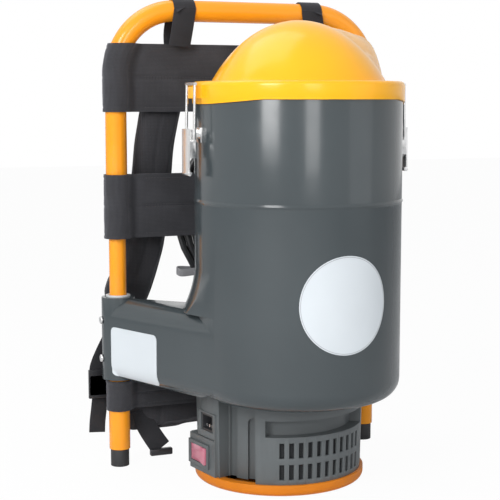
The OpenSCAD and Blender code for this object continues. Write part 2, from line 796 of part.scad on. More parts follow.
module stator() color("#5A5E60") at_motor() translate([0, 0, stator_z]) difference() {
    coil_h = 5;
    union() {
        intersection() {
            cylinder(r = stator_r, h = stator_h);
            translate([-stator_r, -30, 0]) cube([2 * stator_r, 60, stator_h]);
        }
        for (side = [-1, 1]) translate([-20, side * 25 - 5, -coil_h]) cube([40, 10, stator_h + 2 * coil_h]);
    }
    translate([0, 0, -coil_h - cut]) cylinder(r = armature_r + air_gap, h = stator_h + 2 * coil_h + 2 * cut);
    for (a = [45 : 90 : 315]) rotate([0, 0, a])
        translate([post_place, 0, -coil_h - cut])
        cylinder(r = post_r + touch_gap, h = stator_h + 2 * coil_h + 2 * cut);
}

module brush_holders() color("#8A6B3A") at_motor() translate([0, 0, bell_z + bell_t])
    for (side = [-1, 1]) translate([side * 24 - 11.5, -4, 0]) cube([23, 8, 9]);

module motor_mount() color(black) at_motor() translate([0, 0, base_h + 3]) ring(36, 20, bell_z - base_h - 3);

// Casing of the motor, open below: grille, hollow above it, bay beside it and control panel
module motor_housing() color(case_grey) at_case() difference() {
    union() {
        difference() {
            union() {
                translate([0, 0, base_h])
                    cylinder(r1 = motor_case_r - motor_case_draft, r2 = motor_case_r, h = case_top - base_h);
                translate([0, 0, base_h]) linear_extrude(panel_h) panel_plan(panel_back);
                translate([0, 0, base_h + panel_h]) linear_extrude(inlet_panel_h) panel_plan(inlet_panel_back);
            }
            translate([0, 0, base_h - cut]) cylinder(r1 = case_bore_r - motor_case_draft, r2 = case_bore_r,
                h = case_top - base_h - motor_case_wall + cut);
        }
        translate([0, 0, recess_z - motor_case_wall])
            sector(grille_mid - grille_half - 2, grille_mid + grille_half + 2, recess_r - motor_case_wall,
                case_bore_r + 1, recess_h + 2 * motor_case_wall);
        translate([0, 0, base_h]) sector(bay_from - 2, bay_to + 2, bay_r - bay_step - motor_case_wall,
            case_bore_r + 0.4, case_top - base_h);
        screw_places() translate([0, 0, base_h + boss_gap]) cylinder(r = boss_r, h = boss_h - boss_gap);
    }
    translate([0, 0, recess_z])
        sector(grille_mid - grille_half, grille_mid + grille_half, recess_r, motor_case_r + 5, recess_h);
    translate([0, 0, base_h - cut])
        sector(bay_from, bay_to, bay_r, motor_case_r + 5, case_top - base_h + 2 * cut);
    translate([0, 0, base_h - cut])
        sector(bay_from + 1, bay_from + 8.5, bay_r - bay_step, bay_r + 1, case_top - base_h - motor_case_wall);
    rotate([0, 0, bay_to - 5]) arched_recess();
    translate([0, motor_y - case_y, case_top - 10]) cylinder(r = air_hole_r, h = 20);
    for (row = [0, 1], i = [0 : slot_count - 1])
        rotate([0, 0, grille_start + i * slot_step])
            translate([-slot_w / 2, -motor_case_r - 5, slot_row_z + row * slot_row_step])
            cube([slot_w, 15, slot_h]);
    screw_places() translate([0, 0, base_h - cut]) cylinder(r = rivet_r, h = boss_h - 2 + cut);
    on_panel() {
        translate([-cut, rocker_y - rocker_w / 2 - frame_lip, rocker_z - frame_lip])
            cube([frame_depth + cut, rocker_w + 2 * frame_lip, rocker_h + 2 * frame_lip]);
        translate([-cut, -inlet_w / 2, inlet_z]) cube([inlet_depth + cut, inlet_w, inlet_h]);
        translate([-cut, panel_front + 2, base_h + panel_h - 0.6])
            cube([1.8 + cut, panel_back - panel_front, 1.6]);
    }
}

// Round-headed recess in the bay's wall, beside the grille
module arched_recess() {
    half = 6.2;
    top = recess_z + recess_h - 2 - half;
    translate([0, -bay_r + bay_step, base_h - cut]) {
        translate([-half, -bay_step - 3, 0]) cube([2 * half, bay_step + 3, top - base_h + cut]);
        translate([0, 0, top - base_h + cut]) rotate([90, 0, 0]) cylinder(r = half, h = bay_step + 3);
    }
}

// Plan of the flat-faced boss that carries the switch and the inlet, up to its back edge
module panel_plan(back) {
    rotate([0, 0, panel_angle]) polygon([
        [-panel_x, panel_front],
        [-panel_x, back],
        [-motor_case_r + panel_t, back + 1],
        [-motor_case_r + panel_t, panel_front]
    ]);
}

// Frame of the control panel: +X points into the casing, the panel's face is at X = 0
module on_panel() {
    rotate([0, 0, panel_angle]) translate([-panel_x, 0, 0]) children();
}

module exhaust_filter() color("#3F4244") at_case() {
    outer = case_bore_r - motor_case_draft - 0.2;
    translate([0, 0, base_h + 4]) sector(grille_mid - grille_half + 1, grille_mid + grille_half - 3,
        outer - 5, outer, recess_z - motor_case_wall - base_h - 4.5);
}

module base_plate() color("#D9761A") difference() {
    rim = 7;
    floor_t = 4;
    union() {
        at_case() difference() {
            rotate_extrude() polygon(concat(
                [[0, 0]],
                arc([base_r - base_edge, base_edge], base_edge, -90, 0, 8),
                [[base_r, base_h], [0, base_h]]));
            translate([0, 0, floor_t]) cylinder(r = motor_case_r - rim - motor_case_draft, h = base_h);
        }
        at_motor() cylinder(r = stator_r, h = base_h + 3);
        at_case() screw_places() cylinder(r = rim, h = base_h - boss_gap);
    }
    at_motor() translate([0, 0, floor_t]) cylinder(r = 18, h = base_h);
    at_case() screw_places() {
        translate([0, 0, -cut]) cylinder(r = screw_head_r, h = cut + floor_t);
        cylinder(r = rivet_r + pin_fit, h = base_h + cut);
    }
}
module screw_places()
    for (a = [30, 150, 196, 330]) rotate([0, 0, a]) translate([boss_place, 0, 0]) children();

module base_screws() color(steel) at_case() screw_places() translate([0, 0, 1]) {
    cylinder(r = screw_head_r - 0.5, h = 3);
    cylinder(r = rivet_r, h = base_h + boss_h - 5);
}

module inlet_socket() color(black) at_case() on_panel() difference() {
    rim = 3;
    translate([1, -inlet_w / 2, inlet_z]) cube([inlet_depth - 1, inlet_w, inlet_h]);
    translate([-cut, rim - inlet_w / 2, inlet_z + rim - 0.5])
        cube([inlet_depth - 4 + cut, inlet_w - 2 * rim, inlet_h - 2 * rim + 1]);
}
module inlet_pins() color(steel) at_case() on_panel()
    for (y = [-6, 0, 6]) translate([inlet_depth - 12, y - 1, inlet_z + 4]) cube([8, 2, 3.5]);

module switch_frame() color(black) at_case() on_panel() difference() {
    rim = 4;
    union() {
        translate([-frame_lip, rocker_y - rocker_w / 2 - rim, rocker_z - rim])
            cube([frame_lip, rocker_w + 2 * rim, rocker_h + 2 * rim]);
        translate([-1, rocker_y - rocker_w / 2 - frame_lip, rocker_z - frame_lip])
            cube([frame_depth + 1, rocker_w + 2 * frame_lip, rocker_h + 2 * frame_lip]);
    }
    translate([-frame_lip - cut, rocker_y - rocker_w / 2, rocker_z])
        cube([frame_depth + cut, rocker_w, rocker_h]);
    translate([rocker_pivot, rocker_y, rocker_z - pin_r])
        cylinder(r = pin_r + pin_fit, h = rocker_h + 2 * pin_r);
}

// Rocker with a raised end and two pivot stubs
module switch_rocker() color("#C0303A") at_case() on_panel() translate([rocker_pivot, rocker_y, 0]) {
    half = rocker_w / 2;
    translate([0, 0, rocker_z + 0.4]) linear_extrude(rocker_h - 0.8) polygon([
        [-6, -half + 1.6], [-2.5, 0], [-2.6, half - 0.6], [0.5, half - 0.8],
        [2.5, 0], [-1.5, -half + 1]
    ]);
    translate([0, 0, rocker_z - 1.3]) cylinder(r = pin_r, h = rocker_h + 2.6);
}

module lower_tubes() color(tube_orange) difference() {
    at_legs() translate([0, 0, foot_h]) ring(tube_r, tube_bore_r, lower_tube_top - foot_h);
    at_socket_screws() translate([0, 0, -cut]) cylinder(r = screw_r + pin_fit, h = tube_r);
}

module tube_caps() color(black) at_legs() {
    cylinder(r = tube_r - 1.5, h = foot_h);
    cylinder(r = tube_bore_r, h = foot_h + cap_reach);
}

module socket_collars() color("#D5D8DA") at_legs() translate([0, 0, lower_tube_top])
    difference() {
        union() {
            cylinder(r = tube_r, h = socket_top - lower_tube_top);
            translate([0, 0, socket_top - lower_tube_top]) cylinder(r = tube_r + 2, h = collar_h);
        }
        translate([0, 0, -cut]) cylinder(r = slide_r + soft_gap, h = 20);
    }

// Places of the screws that hold the lower tubes, +Z pointing outwards from the tube's bore
module at_socket_screws() for (side = [-1, 1], z = [can_bottom + 25, wing_top - 26])
    translate([side * (leg_x + tube_bore_r), leg_y, z]) rotate([0, side * 90, 0]) children();

module socket_screws() color(steel) at_socket_screws() {
    reach = socket_r - tube_bore_r;
    translate([0, 0, soft_gap]) cylinder(r = screw_r, h = reach - soft_gap);
    translate([0, 0, reach]) cylinder(r = screw_head_r, h = 3);
}

// Bent tube of the upper frame, as a solid of radius r
module bent_tube(r, end) {
    for (side = [-1, 1]) translate([side * leg_x, 0, end]) cylinder(r = r, h = bar_z - bend_r - end);
    for (side = [0, 1]) mirror([side, 0, 0])
        translate([leg_x - bend_r, 0, bar_z - bend_r]) rotate([90, 0, 0])
        rotate_extrude(angle = 90) translate([bend_r, 0]) circle(r = r);
    translate([-leg_x + bend_r, 0, bar_z]) rotate([0, 90, 0]) cylinder(r = r, h = 2 * (leg_x - bend_r));
}

module u_frame() color(tube_orange) translate([0, leg_y, 0]) difference() {
    bent_tube(tube_r, leg_end);
    bent_tube(tube_bore_r, leg_end - cut);
    for (side = [-1, 1]) translate([side * leg_x, 0, rivet_z]) rotate([90, 0, 0])
        cylinder(r = rivet_r + touch_gap, h = 2 * tube_d, center = true);
}

module slide_tubes() color(tube_orange) difference() {
    at_legs() translate([0, 0, slide_bottom]) ring(slide_r, slide_r - slide_wall, slide_top - slide_bottom);
    at_legs() translate([0, 0, rivet_z]) rotate([90, 0, 0])
        cylinder(r = rivet_r + touch_gap, h = 2 * tube_d, center = true);
}

module frame_rivets() color(steel) at_legs() translate([0, 0, rivet_z]) rotate([90, 0, 0])
    cylinder(r = rivet_r, h = tube_d - 0.6, center = true);

// Fabric band: a sleeve that follows each leg and a flat panel with a sewn seam between them
module band(z, h) {
    translate([0, leg_y, 0]) difference() {
        union() {
            intersection() {
                bent_tube(sleeve_r, z);
                translate([-frame_w, -tube_d, z]) cube([2 * frame_w, 2 * tube_d, h]);
            }
            translate([-leg_x, -band_t, z]) cube([frame_w, 2 * band_t, h]);
            translate([-leg_x + sleeve_r + seam_w, -band_t - seam_t, z + h / 2 - seam_w / 2])
                cube([frame_w - 2 * sleeve_r - 2 * seam_w, 1, seam_w]);
        }
        bent_tube(tube_r + soft_gap, z - cut);
    }
}
module upper_band() color(fabric) band(upper_band_z, upper_band_h);
module mid_band() color(fabric) band(mid_band_z, mid_band_h);
module lumbar_band() color(fabric) band(lumbar_band_z, lumbar_band_h);

// Webbing from a pad's top, over the bar and down to the upper band
module top_loop() {
    r = tube_r + soft_gap + webbing_t / 2;
    x = pad_line[0][0];
    front = pad_line[0][1] - pad_t / 2 - webbing_t / 2 - touch_gap;
    over = [for (p = arc([0, bar_z], r, 0, 180, 12)) [x - 6, p[0], p[1]]];
    line = concat([[x, front, pad_top - 14], [x - 2, r, pad_top + 24]], over,
        [[x - 2, -r, pad_top + 24], [x + 1, -r + 4, pad_top + 6]]);
    webbing(placed(line, 1), [1, 0, 0], webbing_w + 2, webbing_t);
}
module top_loops() color(black) both_sides() top_loop();

module shoulder_pad(side) cushion_strap(placed(pad_line, side), pad_w, pad_t);
module shoulder_pad_left() color(fabric) shoulder_pad(-1);
module shoulder_pad_right() color(fabric) shoulder_pad(1);

// Adjusting webbing from a pad's lower end down behind the top bar of its ladder lock
module pad_webbing(side) {
    end = pad_line[len(pad_line) - 1];
    back = lock_back + lock_t / 2 + soft_gap + webbing_t / 2;
    high = lock_z + lock_h + 4;
    line = [end - [0, 0, touch_gap], end - [0, 0, 6],
        [(end[0] + lock_x) / 2, (end[1] + back) / 2, (end[2] + high) / 2],
        [lock_x, back, high], [lock_x, back, lock_z + 23]];
    webbing(placed(line, side), [1, 0, 0], webbing_w, webbing_t);
}
module pad_webbing_left() color(black) pad_webbing(-1);
module pad_webbing_right() color(black) pad_webbing(1);

// Hip pad: one padded panel behind the lower tubes, with two drooping lobes
module hip_pad() color(fabric) {
    half = leg_x - 1;
    middle = hip_front + hip_t / 2;
    top = lumbar_band_z + lumbar_band_h - 2;
    skin([for (i = [0 : 16])
        let (s = -1 + i / 8,
            edge = abs(s) > 0.99 ? 0.5 : abs(s) > 0.85 ? 0.9 : 1,
            low = hip_low + 12 * pow(abs(s), 3) + 10 * pow(cos(s * 90), 2),
            high = top - 8 * pow(abs(s), 4),
            mid = (low + high) / 2,
            half_h = (high - low) / 2)
        [for (k = [0 : 15])
            let (a = 360 * k / 16, c = cos(a), n = sin(a))
            [s * half, leg_y + middle + hip_t / 2 * edge * sign(n) * pow(abs(n), 0.8),
                mid + half_h * (0.7 + 0.3 * edge) * sign(c) * pow(abs(c), 0.5)]]]);
}

module ladder_locks() color(black) for (side = [-1, 1])
    translate([side * lock_x, leg_y + lock_back, lock_z]) difference() {
        translate([-lock_w / 2 - 2, -lock_t / 2, 0]) cube([lock_w + 4, lock_t, lock_h]);
        for (z = [5, 19]) translate([-lock_w / 2, -lock_t, z]) cube([lock_w, 2 * lock_t, 8]);
    }

module strap_tail() {
    back = lock_back + lock_t / 2 + touch_gap + webbing_t / 2;
    line = [[lock_x, back, lock_z + 6], [lock_x + 2, back + 2, lock_z - 16], [lock_x + 5, back, lock_z - 44]];
    webbing(placed(line, 1), [1, 0, 0], webbing_w - 5, webbing_t);
}
module strap_tails() color(black) both_sides() strap_tail();

// Half of the hip belt, from the hip pad's front down to the buckle
module belt_half() {
    front = hip_front - webbing_t / 2 - soft_gap;
    line = [[buckle_x + 24, front, hip_low + 38], [buckle_x + 19, front - 1.5, hip_low + 20],
        [buckle_x + 9, front - 3, hip_low + 2], [buckle_x, front - 3, buckle_z + buckle_h + 0.5]];
    webbing(placed(line, 1), [1, 0, 0], webbing_w, webbing_t);
}
module belt_webbing() color(black) both_sides() belt_half();

module belt_buckle() color(black) both_sides()
    translate([buckle_x - buckle_w / 2, leg_y + hip_front - buckle_t - 0.6, buckle_z])
    cube([buckle_w, buckle_t, buckle_h]);

// Hanked lead: turns spiral in on one layer, climb, and spiral out on the next
function hank_growth(t) = lead_step * max(0, abs(t - lead_turns / 2) - 0.25);
function hank_depth(t) = lead_layer * min(1, max(0, (t - lead_turns / 2 + 0.25) * 2));
function hank_point(t) =
    let (a = 360 * t + 90, g = hank_growth(t), z = (hank_h + g) * sin(a),
        waist = 1 - 0.12 * exp(-pow((hank_mid_z + z - waist_z) / 26, 2)))
    [(hank_w + g) * waist * cos(a), leg_y + hank_back + hank_depth(t), hank_mid_z + z];
// Straight ends that lift off the outermost turn, on either side of the hank's top
function hank_end(side, back) =
    let (top = hank_point(0)[2])
    [for (p = [[6, 1, 0.3], [14, 4.5, 0.8], [22, 7, 1], [30, 7, 1]])
        [side * p[0], leg_y + hank_back + (back - hank_back) * p[2], top + p[1]]];
function reversed(line) = [for (i = [len(line) - 1 : -1 : 0]) line[i]];
hank_line = concat(
    reversed(hank_end(1, near_end_back)),
    [for (i = [0 : lead_turns * lead_rings]) hank_point(i / lead_rings)],
    [for (p = hank_end(-1, far_end_back)) [p[0], leg_y + far_end_back, p[2]]]);

module lead_hank() color(black) swept_tube(hank_line, lead_d / 2, 6);

module lead_connector() color(black) translate(hank_line[0])
    rotate([0, 90, 0]) cylinder(r = plug_r, h = plug_l);
module lead_plug() color(black) translate(hank_line[len(hank_line) - 1])
    rotate([0, -90, 0]) cylinder(r = plug_r, h = plug_l);

// Flat loop of webbing round the hank's waist
module lead_tie() color("#9A9A9C") translate([0, leg_y + hank_back + lead_layer / 2, waist_z - 5])
    difference() {
        half = (hank_w + lead_step * lead_turns / 2) * 0.9 + 6;
        deep = (lead_layer + lead_d) / 2 + soft_gap;
        strap_t = 1.5;
        translate([-half, -deep - strap_t, 0]) cube([2 * half, 2 * (deep + strap_t), 9]);
        translate([-half + strap_t, -deep, -cut]) cube([2 * (half - strap_t), 2 * deep, 11]);
    }

canister_housing();
intake_grid();
filter_basket();
dust_bag();
bag_collar();
lid();
lid_gasket();
hose_socket();
latch_bases();
latch_pins();
lever_left();
lever_right();
bail_left();
bail_right();
motor_gasket();
fan_housing();
impeller();
shaft();
armature();
commutator();
upper_bearing();
lower_bearing();
motor_frame();
stator();
brush_holders();
motor_mount();
motor_housing();
exhaust_filter();
base_plate();
base_screws();
inlet_socket();
inlet_pins();
switch_frame();
switch_rocker();
lower_tubes();
tube_caps();
socket_collars();
socket_screws();
u_frame();
slide_tubes();
frame_rivets();
upper_band();
mid_band();
top_loops();
shoulder_pad_left();
shoulder_pad_right();
pad_webbing_left();
pad_webbing_right();
lumbar_band();
hip_pad();
ladder_locks();
strap_tails();
belt_webbing();
belt_buckle();
lead_hank();
lead_connector();
lead_plug();
lead_tie();
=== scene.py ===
"""Backpack vacuum cleaner: surfaces, fabric, webbing and power lead over the fixed CAD model."""

import json
import math
from contextlib import contextmanager

import bpy
from bpy.props import FloatProperty, FloatVectorProperty, IntProperty, PointerProperty
from bpy.types import Operator, Panel, PropertyGroup
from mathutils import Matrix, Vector
from mathutils.bvhtree import BVHTree


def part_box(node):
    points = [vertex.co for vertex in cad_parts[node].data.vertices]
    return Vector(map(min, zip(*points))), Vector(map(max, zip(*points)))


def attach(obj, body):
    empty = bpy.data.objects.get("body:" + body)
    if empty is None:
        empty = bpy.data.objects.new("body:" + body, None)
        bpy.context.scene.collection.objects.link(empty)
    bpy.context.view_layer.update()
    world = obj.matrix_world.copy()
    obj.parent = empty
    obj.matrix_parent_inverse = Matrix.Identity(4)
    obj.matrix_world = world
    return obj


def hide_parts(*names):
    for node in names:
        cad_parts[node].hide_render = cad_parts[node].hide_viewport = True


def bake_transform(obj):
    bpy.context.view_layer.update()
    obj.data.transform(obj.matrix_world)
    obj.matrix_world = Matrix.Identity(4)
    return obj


bl_info = {
    "name": "Backpack vacuum cleaner",
    "version": (1, 0, 0),
    "blender": (4, 5, 0),
    "location": "View3D > Sidebar > Vacuum",
    "description": "Dresses the backpack vacuum cleaner and sets its stage",
    "category": "Object",
}

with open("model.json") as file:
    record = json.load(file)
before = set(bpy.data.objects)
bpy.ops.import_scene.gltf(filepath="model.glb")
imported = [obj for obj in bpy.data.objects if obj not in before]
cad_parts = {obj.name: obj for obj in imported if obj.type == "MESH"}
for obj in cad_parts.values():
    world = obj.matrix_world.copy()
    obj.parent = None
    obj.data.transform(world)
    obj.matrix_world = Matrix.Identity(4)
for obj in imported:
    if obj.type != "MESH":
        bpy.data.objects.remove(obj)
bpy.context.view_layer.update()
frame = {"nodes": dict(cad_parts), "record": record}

MM = 0.001

# Frame's legs and bar, canister, and the wings' sockets and creases
LEG_X = 163.5 * MM
LEG_Y = 113.75 * MM
CAN_Y = -40.25 * MM
CAN_R = 115 * MM
BAR_Z = 540.5 * MM
BEND_R = 75 * MM
BEND_Z = BAR_Z - BEND_R
SOCKET_R = 19.6 * MM
WING_CREASE = math.radians(-44)
CAN_SETBACK = 154 * MM

# Shoulder pad's centre line: distance from the middle, reach behind the tubes, height
PAD_LINE = [
    (88.0, 15, 492), (97.0, 15, 455), (105.0, 16, 419), (111.0, 20, 380), (113.0, 25, 340),
    (115.0, 30, 300.1), (119.0, 34, 265), (128.0, 36, 235), (138.0, 36, 210.5), (141.9, 35.5, 196.7),
    (141.9, 35.5, 186),
]

# Power lead, its hank and its tie
LEAD_D = 7.2 * MM
LEAD_TURNS = 10
TURN_STEPS = 48
LEAD_STEP = 9.4 * MM
LEAD_LAYER = 8 * MM
HANK_W = 42 * MM
HANK_H = 73 * MM
HANK_Z = 288 * MM
WAIST_Z = 230 * MM
HANK_BACK = 6.9 * MM
TIE_WIDTH = 9 * MM
TIE_THICK = 1.2 * MM

# Fabric bands: steps along one layer, the cloth's thickness, and how far the stitching is from the hem and
# from the middle seam
BAND_STEPS = 40
BAND_CLOTH = 1.1 * MM
HEM_STITCH = 5 * MM
SEAM_STITCH = 1.2 * MM

# Webbing: lower half of its section in shares of width and thickness, the upper half mirrors it
WEB_THICK = 1.6 * MM
WEB_HALF = [
    (-0.5, 0), (-0.485, -0.36), (-0.46, -0.5), (-0.25, -0.5), (0, -0.5), (0.25, -0.5), (0.46, -0.5),
    (0.485, -0.36),
]

# Stitches
THREAD_LONG = 2.6 * MM
THREAD_WIDE = 0.55 * MM
THREAD_PITCH = 3.6 * MM

# Pads: the most that their cloth may move, and their seams' distances from the middle
PAD_CAP = 5 * MM
PAD_SEAM = 25 * MM
HIP_SEAMS = (54 * MM, 108 * MM)

# Rating label on the wing, and round sticker on the canister
LABEL_LOW = 113 * MM
LABEL_HIGH = 172 * MM
LABEL_START = 2 * MM
LABEL_LIFT = 0.6 * MM
STICKER_Z = 223 * MM
STICKER_TURN = 5 * MM / CAN_R - math.pi / 2
STICKER_LIFT = 0.3 * MM
RIM_LIFT = -0.3 * MM

SIDEWAYS = Vector((1, 0, 0))
UP = Vector((0, 0, 1))


# ---------------------------------------------------------------- small helpers

def settings():
    return bpy.context.scene.vacuum


def deselect():
    for item in bpy.context.selected_objects:
        item.select_set(False)


def only(piece):
    deselect()
    piece.select_set(True)
    bpy.context.view_layer.objects.active = piece


@contextmanager
def editing(piece):
    """Edit mode with all of a piece's mesh selected."""
    only(piece)
    bpy.ops.object.mode_set(mode="EDIT")
    bpy.ops.mesh.select_all(action="SELECT")
    yield
    bpy.ops.object.mode_set(mode="OBJECT")


def body_of_node(node):
    for name, nodes in frame["record"]["behaviour"]["bodies"].items():
        if node in nodes:
            return name
    raise RuntimeError("no body holds the node " + node)


def skin_of(piece):
    """The surface of a piece, for laying other pieces on it."""
    places = [v.co.copy() for v in piece.data.vertices]
    return BVHTree.FromPolygons(places, [tuple(p.vertices) for p in piece.data.polygons])


def set_look(piece, look):
    piece.data.materials.clear()
    piece.data.materials.append(finish(look))


def coat_node(node, look):
    set_look(frame["nodes"][node], look)


def finish_piece(piece, body, look):
    set_look(piece, look)
    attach(piece, body)
    return piece


def new_object(name, data):
    piece = bpy.data.objects.new(name, data)
    bpy.context.scene.collection.objects.link(piece)
    return piece


def node_copy(node, name):
    """A CAD node's mesh as a piece of its own, selected alone, without custom normals."""
    piece = new_object(name, frame["nodes"][node].data.copy())
    only(piece)
    if piece.data.has_custom_normals:
        bpy.ops.mesh.customdata_custom_splitnormals_clear()
    return piece


def mesh_piece(name, points, faces, uvs=None):
    mesh = bpy.data.meshes.new(name)
    mesh.from_pydata([tuple(p) for p in points], [], faces)
    if uvs is not None:
        layer = mesh.uv_layers.new(name="weave")
        for polygon in mesh.polygons:
            for corner, loop in enumerate(polygon.loop_indices):
                layer.data[loop].uv = uvs[polygon.index][corner]
    mesh.validate()
    return new_object(name, mesh)


def smooth(piece, angle):
    only(piece)
    bpy.ops.object.shade_smooth_by_angle(angle=math.radians(angle))


def add_modifier(kind, **values):
    """Gives the active piece a modifier with these values."""
    bpy.ops.object.modifier_add(type=kind)
    modifier = bpy.context.object.modifiers[-1]
    for name, value in values.items():
        setattr(modifier, name, value)
    return modifier


def apply_modifiers(piece):
    only(piece)
    for modifier in list(piece.modifiers):
        bpy.ops.object.modifier_apply(modifier=modifier.name)


def recalculate(piece, merge=0.0):
    with editing(piece):
        if merge:
            bpy.ops.mesh.remove_doubles(threshold=merge)
        bpy.ops.mesh.normals_make_consistent(inside=False)


def dressed_copy(node, name, width, look, angle=30, segments=2):
    """A CAD node's merged copy with rounded edges, in the node's place."""
    piece = node_copy(node, name)
    with editing(piece):
        bpy.ops.mesh.remove_doubles(threshold=0.002 * MM)
        bpy.ops.mesh.dissolve_limited(angle_limit=math.radians(0.5))
    add_modifier("BEVEL", limit_method="ANGLE", angle_limit=math.radians(angle), width=width,
                 segments=segments, use_clamp_overlap=True, miter_outer="MITER_ARC")
    apply_modifiers(piece)
    smooth(piece, angle)
    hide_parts(node)
    finish_piece(piece, body_of_node(node), look)


def spline(points, steps):
    """Smooth line through points, steps pieces between neighbours."""
    line = [Vector(p) for p in points]
    out = []
    for i in range(len(line) - 1):
        before = line[max(i - 1, 0)]
        start, end = line[i], line[i + 1]
        after = line[min(i + 2, len(line) - 1)]
        for k in range(steps):
            t = k / steps
            out.append(0.5 * ((2 * start) + (end - before) * t
                              + (2 * before - 5 * start + 4 * end - after) * t * t
                              + (3 * start - before - 3 * end + after) * t ** 3))
    out.append(line[-1])
    return out


def headings(line):
    last = len(line) - 1
    return [(line[min(i + 1, last)] - line[max(i - 1, 0)]).normalized() for i in range(last + 1)]


def falloff(distance, width):
    """1 on a line, fading to nothing a few widths away from it."""
    return math.exp(-((distance / width) ** 2))


def circle(count, radius=1.0):
    return [(radius * math.cos(2 * math.pi * k / count), radius * math.sin(2 * math.pi * k / count))
            for k in range(count)]


def quads(rings, count, joined=False):
    """Faces between neighbouring rings of count points, and from the last ring to the first if joined."""
    faces = []
    for i in range(rings if joined else rings - 1):
        j = (i + 1) % rings
        for k in range(count):
            n = (k + 1) % count
            faces.append((i * count + k, i * count + n, j * count + n, j * count + k))
    return faces


def caps(rings, count):
    """Faces that close the first ring and the last."""
    return [tuple(reversed(range(count))), tuple(range((rings - 1) * count, rings * count))]


def outwards(ring):
    """Level normals of a closed ring."""
    count = len(ring)
    return [(ring[(k + 1) % count] - ring[k - 1]).normalized().cross(UP) for k in range(count)]


def lofted(name, rings, lengths, joined=False):
    """Skin over rings, capped or joined into a loop, with a UV map in metres round and along it."""
    count = len(rings[0])
    around = [0.0]
    for k in range(count):
        around.append(around[-1] + (rings[0][(k + 1) % count] - rings[0][k]).length)
    faces = quads(len(rings), count, joined)
    uvs = [[(around[k], low), (around[k + 1], low), (around[k + 1], high), (around[k], high)]
           for low, high in zip(lengths, lengths[1:]) for k in range(count)]
    if not joined:
        faces += caps(len(rings), count)
        uvs += [[(p.x, p.z) for p in reversed(rings[0])], [(p.x, p.z) for p in rings[-1]]]
    piece = mesh_piece(name, [p for ring in rings for p in ring], faces, uvs)
    recalculate(piece)
    return piece


def ribbon(name, points, width, steps=8, curl=0.0):
    """Flat webbing along a line, with rounded edges and a slight cup across its width."""
    line = spline(points, steps)
    lengths = [0.0]
    for a, b in zip(line, line[1:]):
        lengths.append(lengths[-1] + (b - a).length)
    section = WEB_HALF + [(-u, -v) for u, v in WEB_HALF]
    rings = []
    for point, heading in zip(line, headings(line)):
        out = heading.cross(SIDEWAYS).normalized()
        side = out.cross(heading).normalized()
        rings.append([point + side * (u * width) + out * (v * WEB_THICK + curl * (4 * u * u - 1))
                      for u, v in section])
    piece = lofted(name, rings, lengths)
    smooth(piece, 50)
    return piece


def hoop(name, line, radius, sides=10):
    """Closed round tube along a smooth line."""
    points = []
    normal = None
    for i, point in enumerate(line):
        heading = (line[(i + 1) % len(line)] - line[i - 1]).normalized()
        if normal is None:
            normal = heading.orthogonal().normalized()
        normal = (normal - heading * normal.dot(heading)).normalized()
        other = heading.cross(normal)
        points += [point + (normal * c + other * s) * radius for c, s in circle(sides)]
    piece = mesh_piece(name, points, quads(len(line), sides, joined=True))
    recalculate(piece)
    smooth(piece, 40)
    return piece


def lathe(name, profile, start, heading, sides=28):
    """Turned piece from (distance along, radius) pairs."""
    side = heading.orthogonal().normalized()
    other = heading.cross(side)
    points = [start + heading * along + (side * c + other * s) * radius
              for along, radius in profile for c, s in circle(sides)]
    piece = mesh_piece(name, points, quads(len(profile), sides) + caps(len(profile), sides))
    recalculate(piece)
    smooth(piece, 40)
    return piece


def stitches(name, rows, body):
    """Rows of short raised threads; each row is a list of (point, outward normal)."""
    corners = [(u * long, v * wide, w) for long, wide, w in ((0.5, 0.5, -0.4), (0.36, 0.3, 0.5))
               for u, v in ((-1, -1), (1, -1), (1, 1), (-1, 1))]
    block = caps(2, 4) + quads(2, 4)
    points, faces = [], []
    for row in rows:
        walked, target = 0.0, THREAD_PITCH / 2
        for (a, normal_a), (b, normal_b) in zip(row, row[1:]):
            step = (b - a).length
            while step > 0 and target <= walked + step:
                t = (target - walked) / step
                centre = a.lerp(b, t)
                normal = normal_a.lerp(normal_b, t).normalized()
                along = (b - a).normalized()
                side = normal.cross(along).normalized()
                faces += [tuple(len(points) + i for i in face) for face in block]
                points += [centre + along * (u * THREAD_LONG) + side * (v * THREAD_WIDE)
                           + normal * (w * THREAD_WIDE) for u, v, w in corners]
                target += THREAD_PITCH
            walked += step
    piece = mesh_piece(name, points, faces)
    recalculate(piece)
    finish_piece(piece, body, "thread")


# ---------------------------------------------------------------- materials

def feed(tree, item, values):
    """Sets a node's inputs, or links them where the value is another node's output."""
    for name, value in values.items():
        if isinstance(value, bpy.types.NodeSocket):
            tree.links.new(value, item.inputs[name])
        else:
            item.inputs[name].default_value = value


def place(tree, kind, values=None, **attributes):
    item = tree.nodes.new("ShaderNode" + kind)
    for name, value in attributes.items():
        setattr(item, name, value)
    feed(tree, item, values or {})
    return item


def new_material(name):
    material = bpy.data.materials.new(name)
    material.use_nodes = True
    tree = material.node_tree
    tree.nodes.clear()
    shader = place(tree, "BsdfPrincipled")
    place(tree, "OutputMaterial", {"Surface": shader.outputs["BSDF"]})
    return material, tree, shader


def noise(tree, where, scale, detail=3.0):
    values = {"Vector": where, "Scale": scale, "Detail": detail, "Roughness": 0.5}
    return place(tree, "TexNoise", values).outputs["Fac"]


def shades(tree, factor, dark, light):
    ramp = place(tree, "ValToRGB", {"Fac": factor})
    ramp.color_ramp.elements[0].position = 0.3
    ramp.color_ramp.elements[0].color = (*dark, 1)
    ramp.color_ramp.elements[1].position = 0.7
    ramp.color_ramp.elements[1].color = (*light, 1)
    return ramp.outputs["Color"]


def spread(tree, factor, low, high):
    values = {"Value": factor, "From Min": 0.3, "From Max": 0.7, "To Min": low, "To Max": high}
    return place(tree, "MapRange", values).outputs["Result"]


def bump(tree, height, distance, strength):
    values = {"Height": height, "Strength": strength, "Distance": distance}
    return place(tree, "Bump", values).outputs["Normal"]


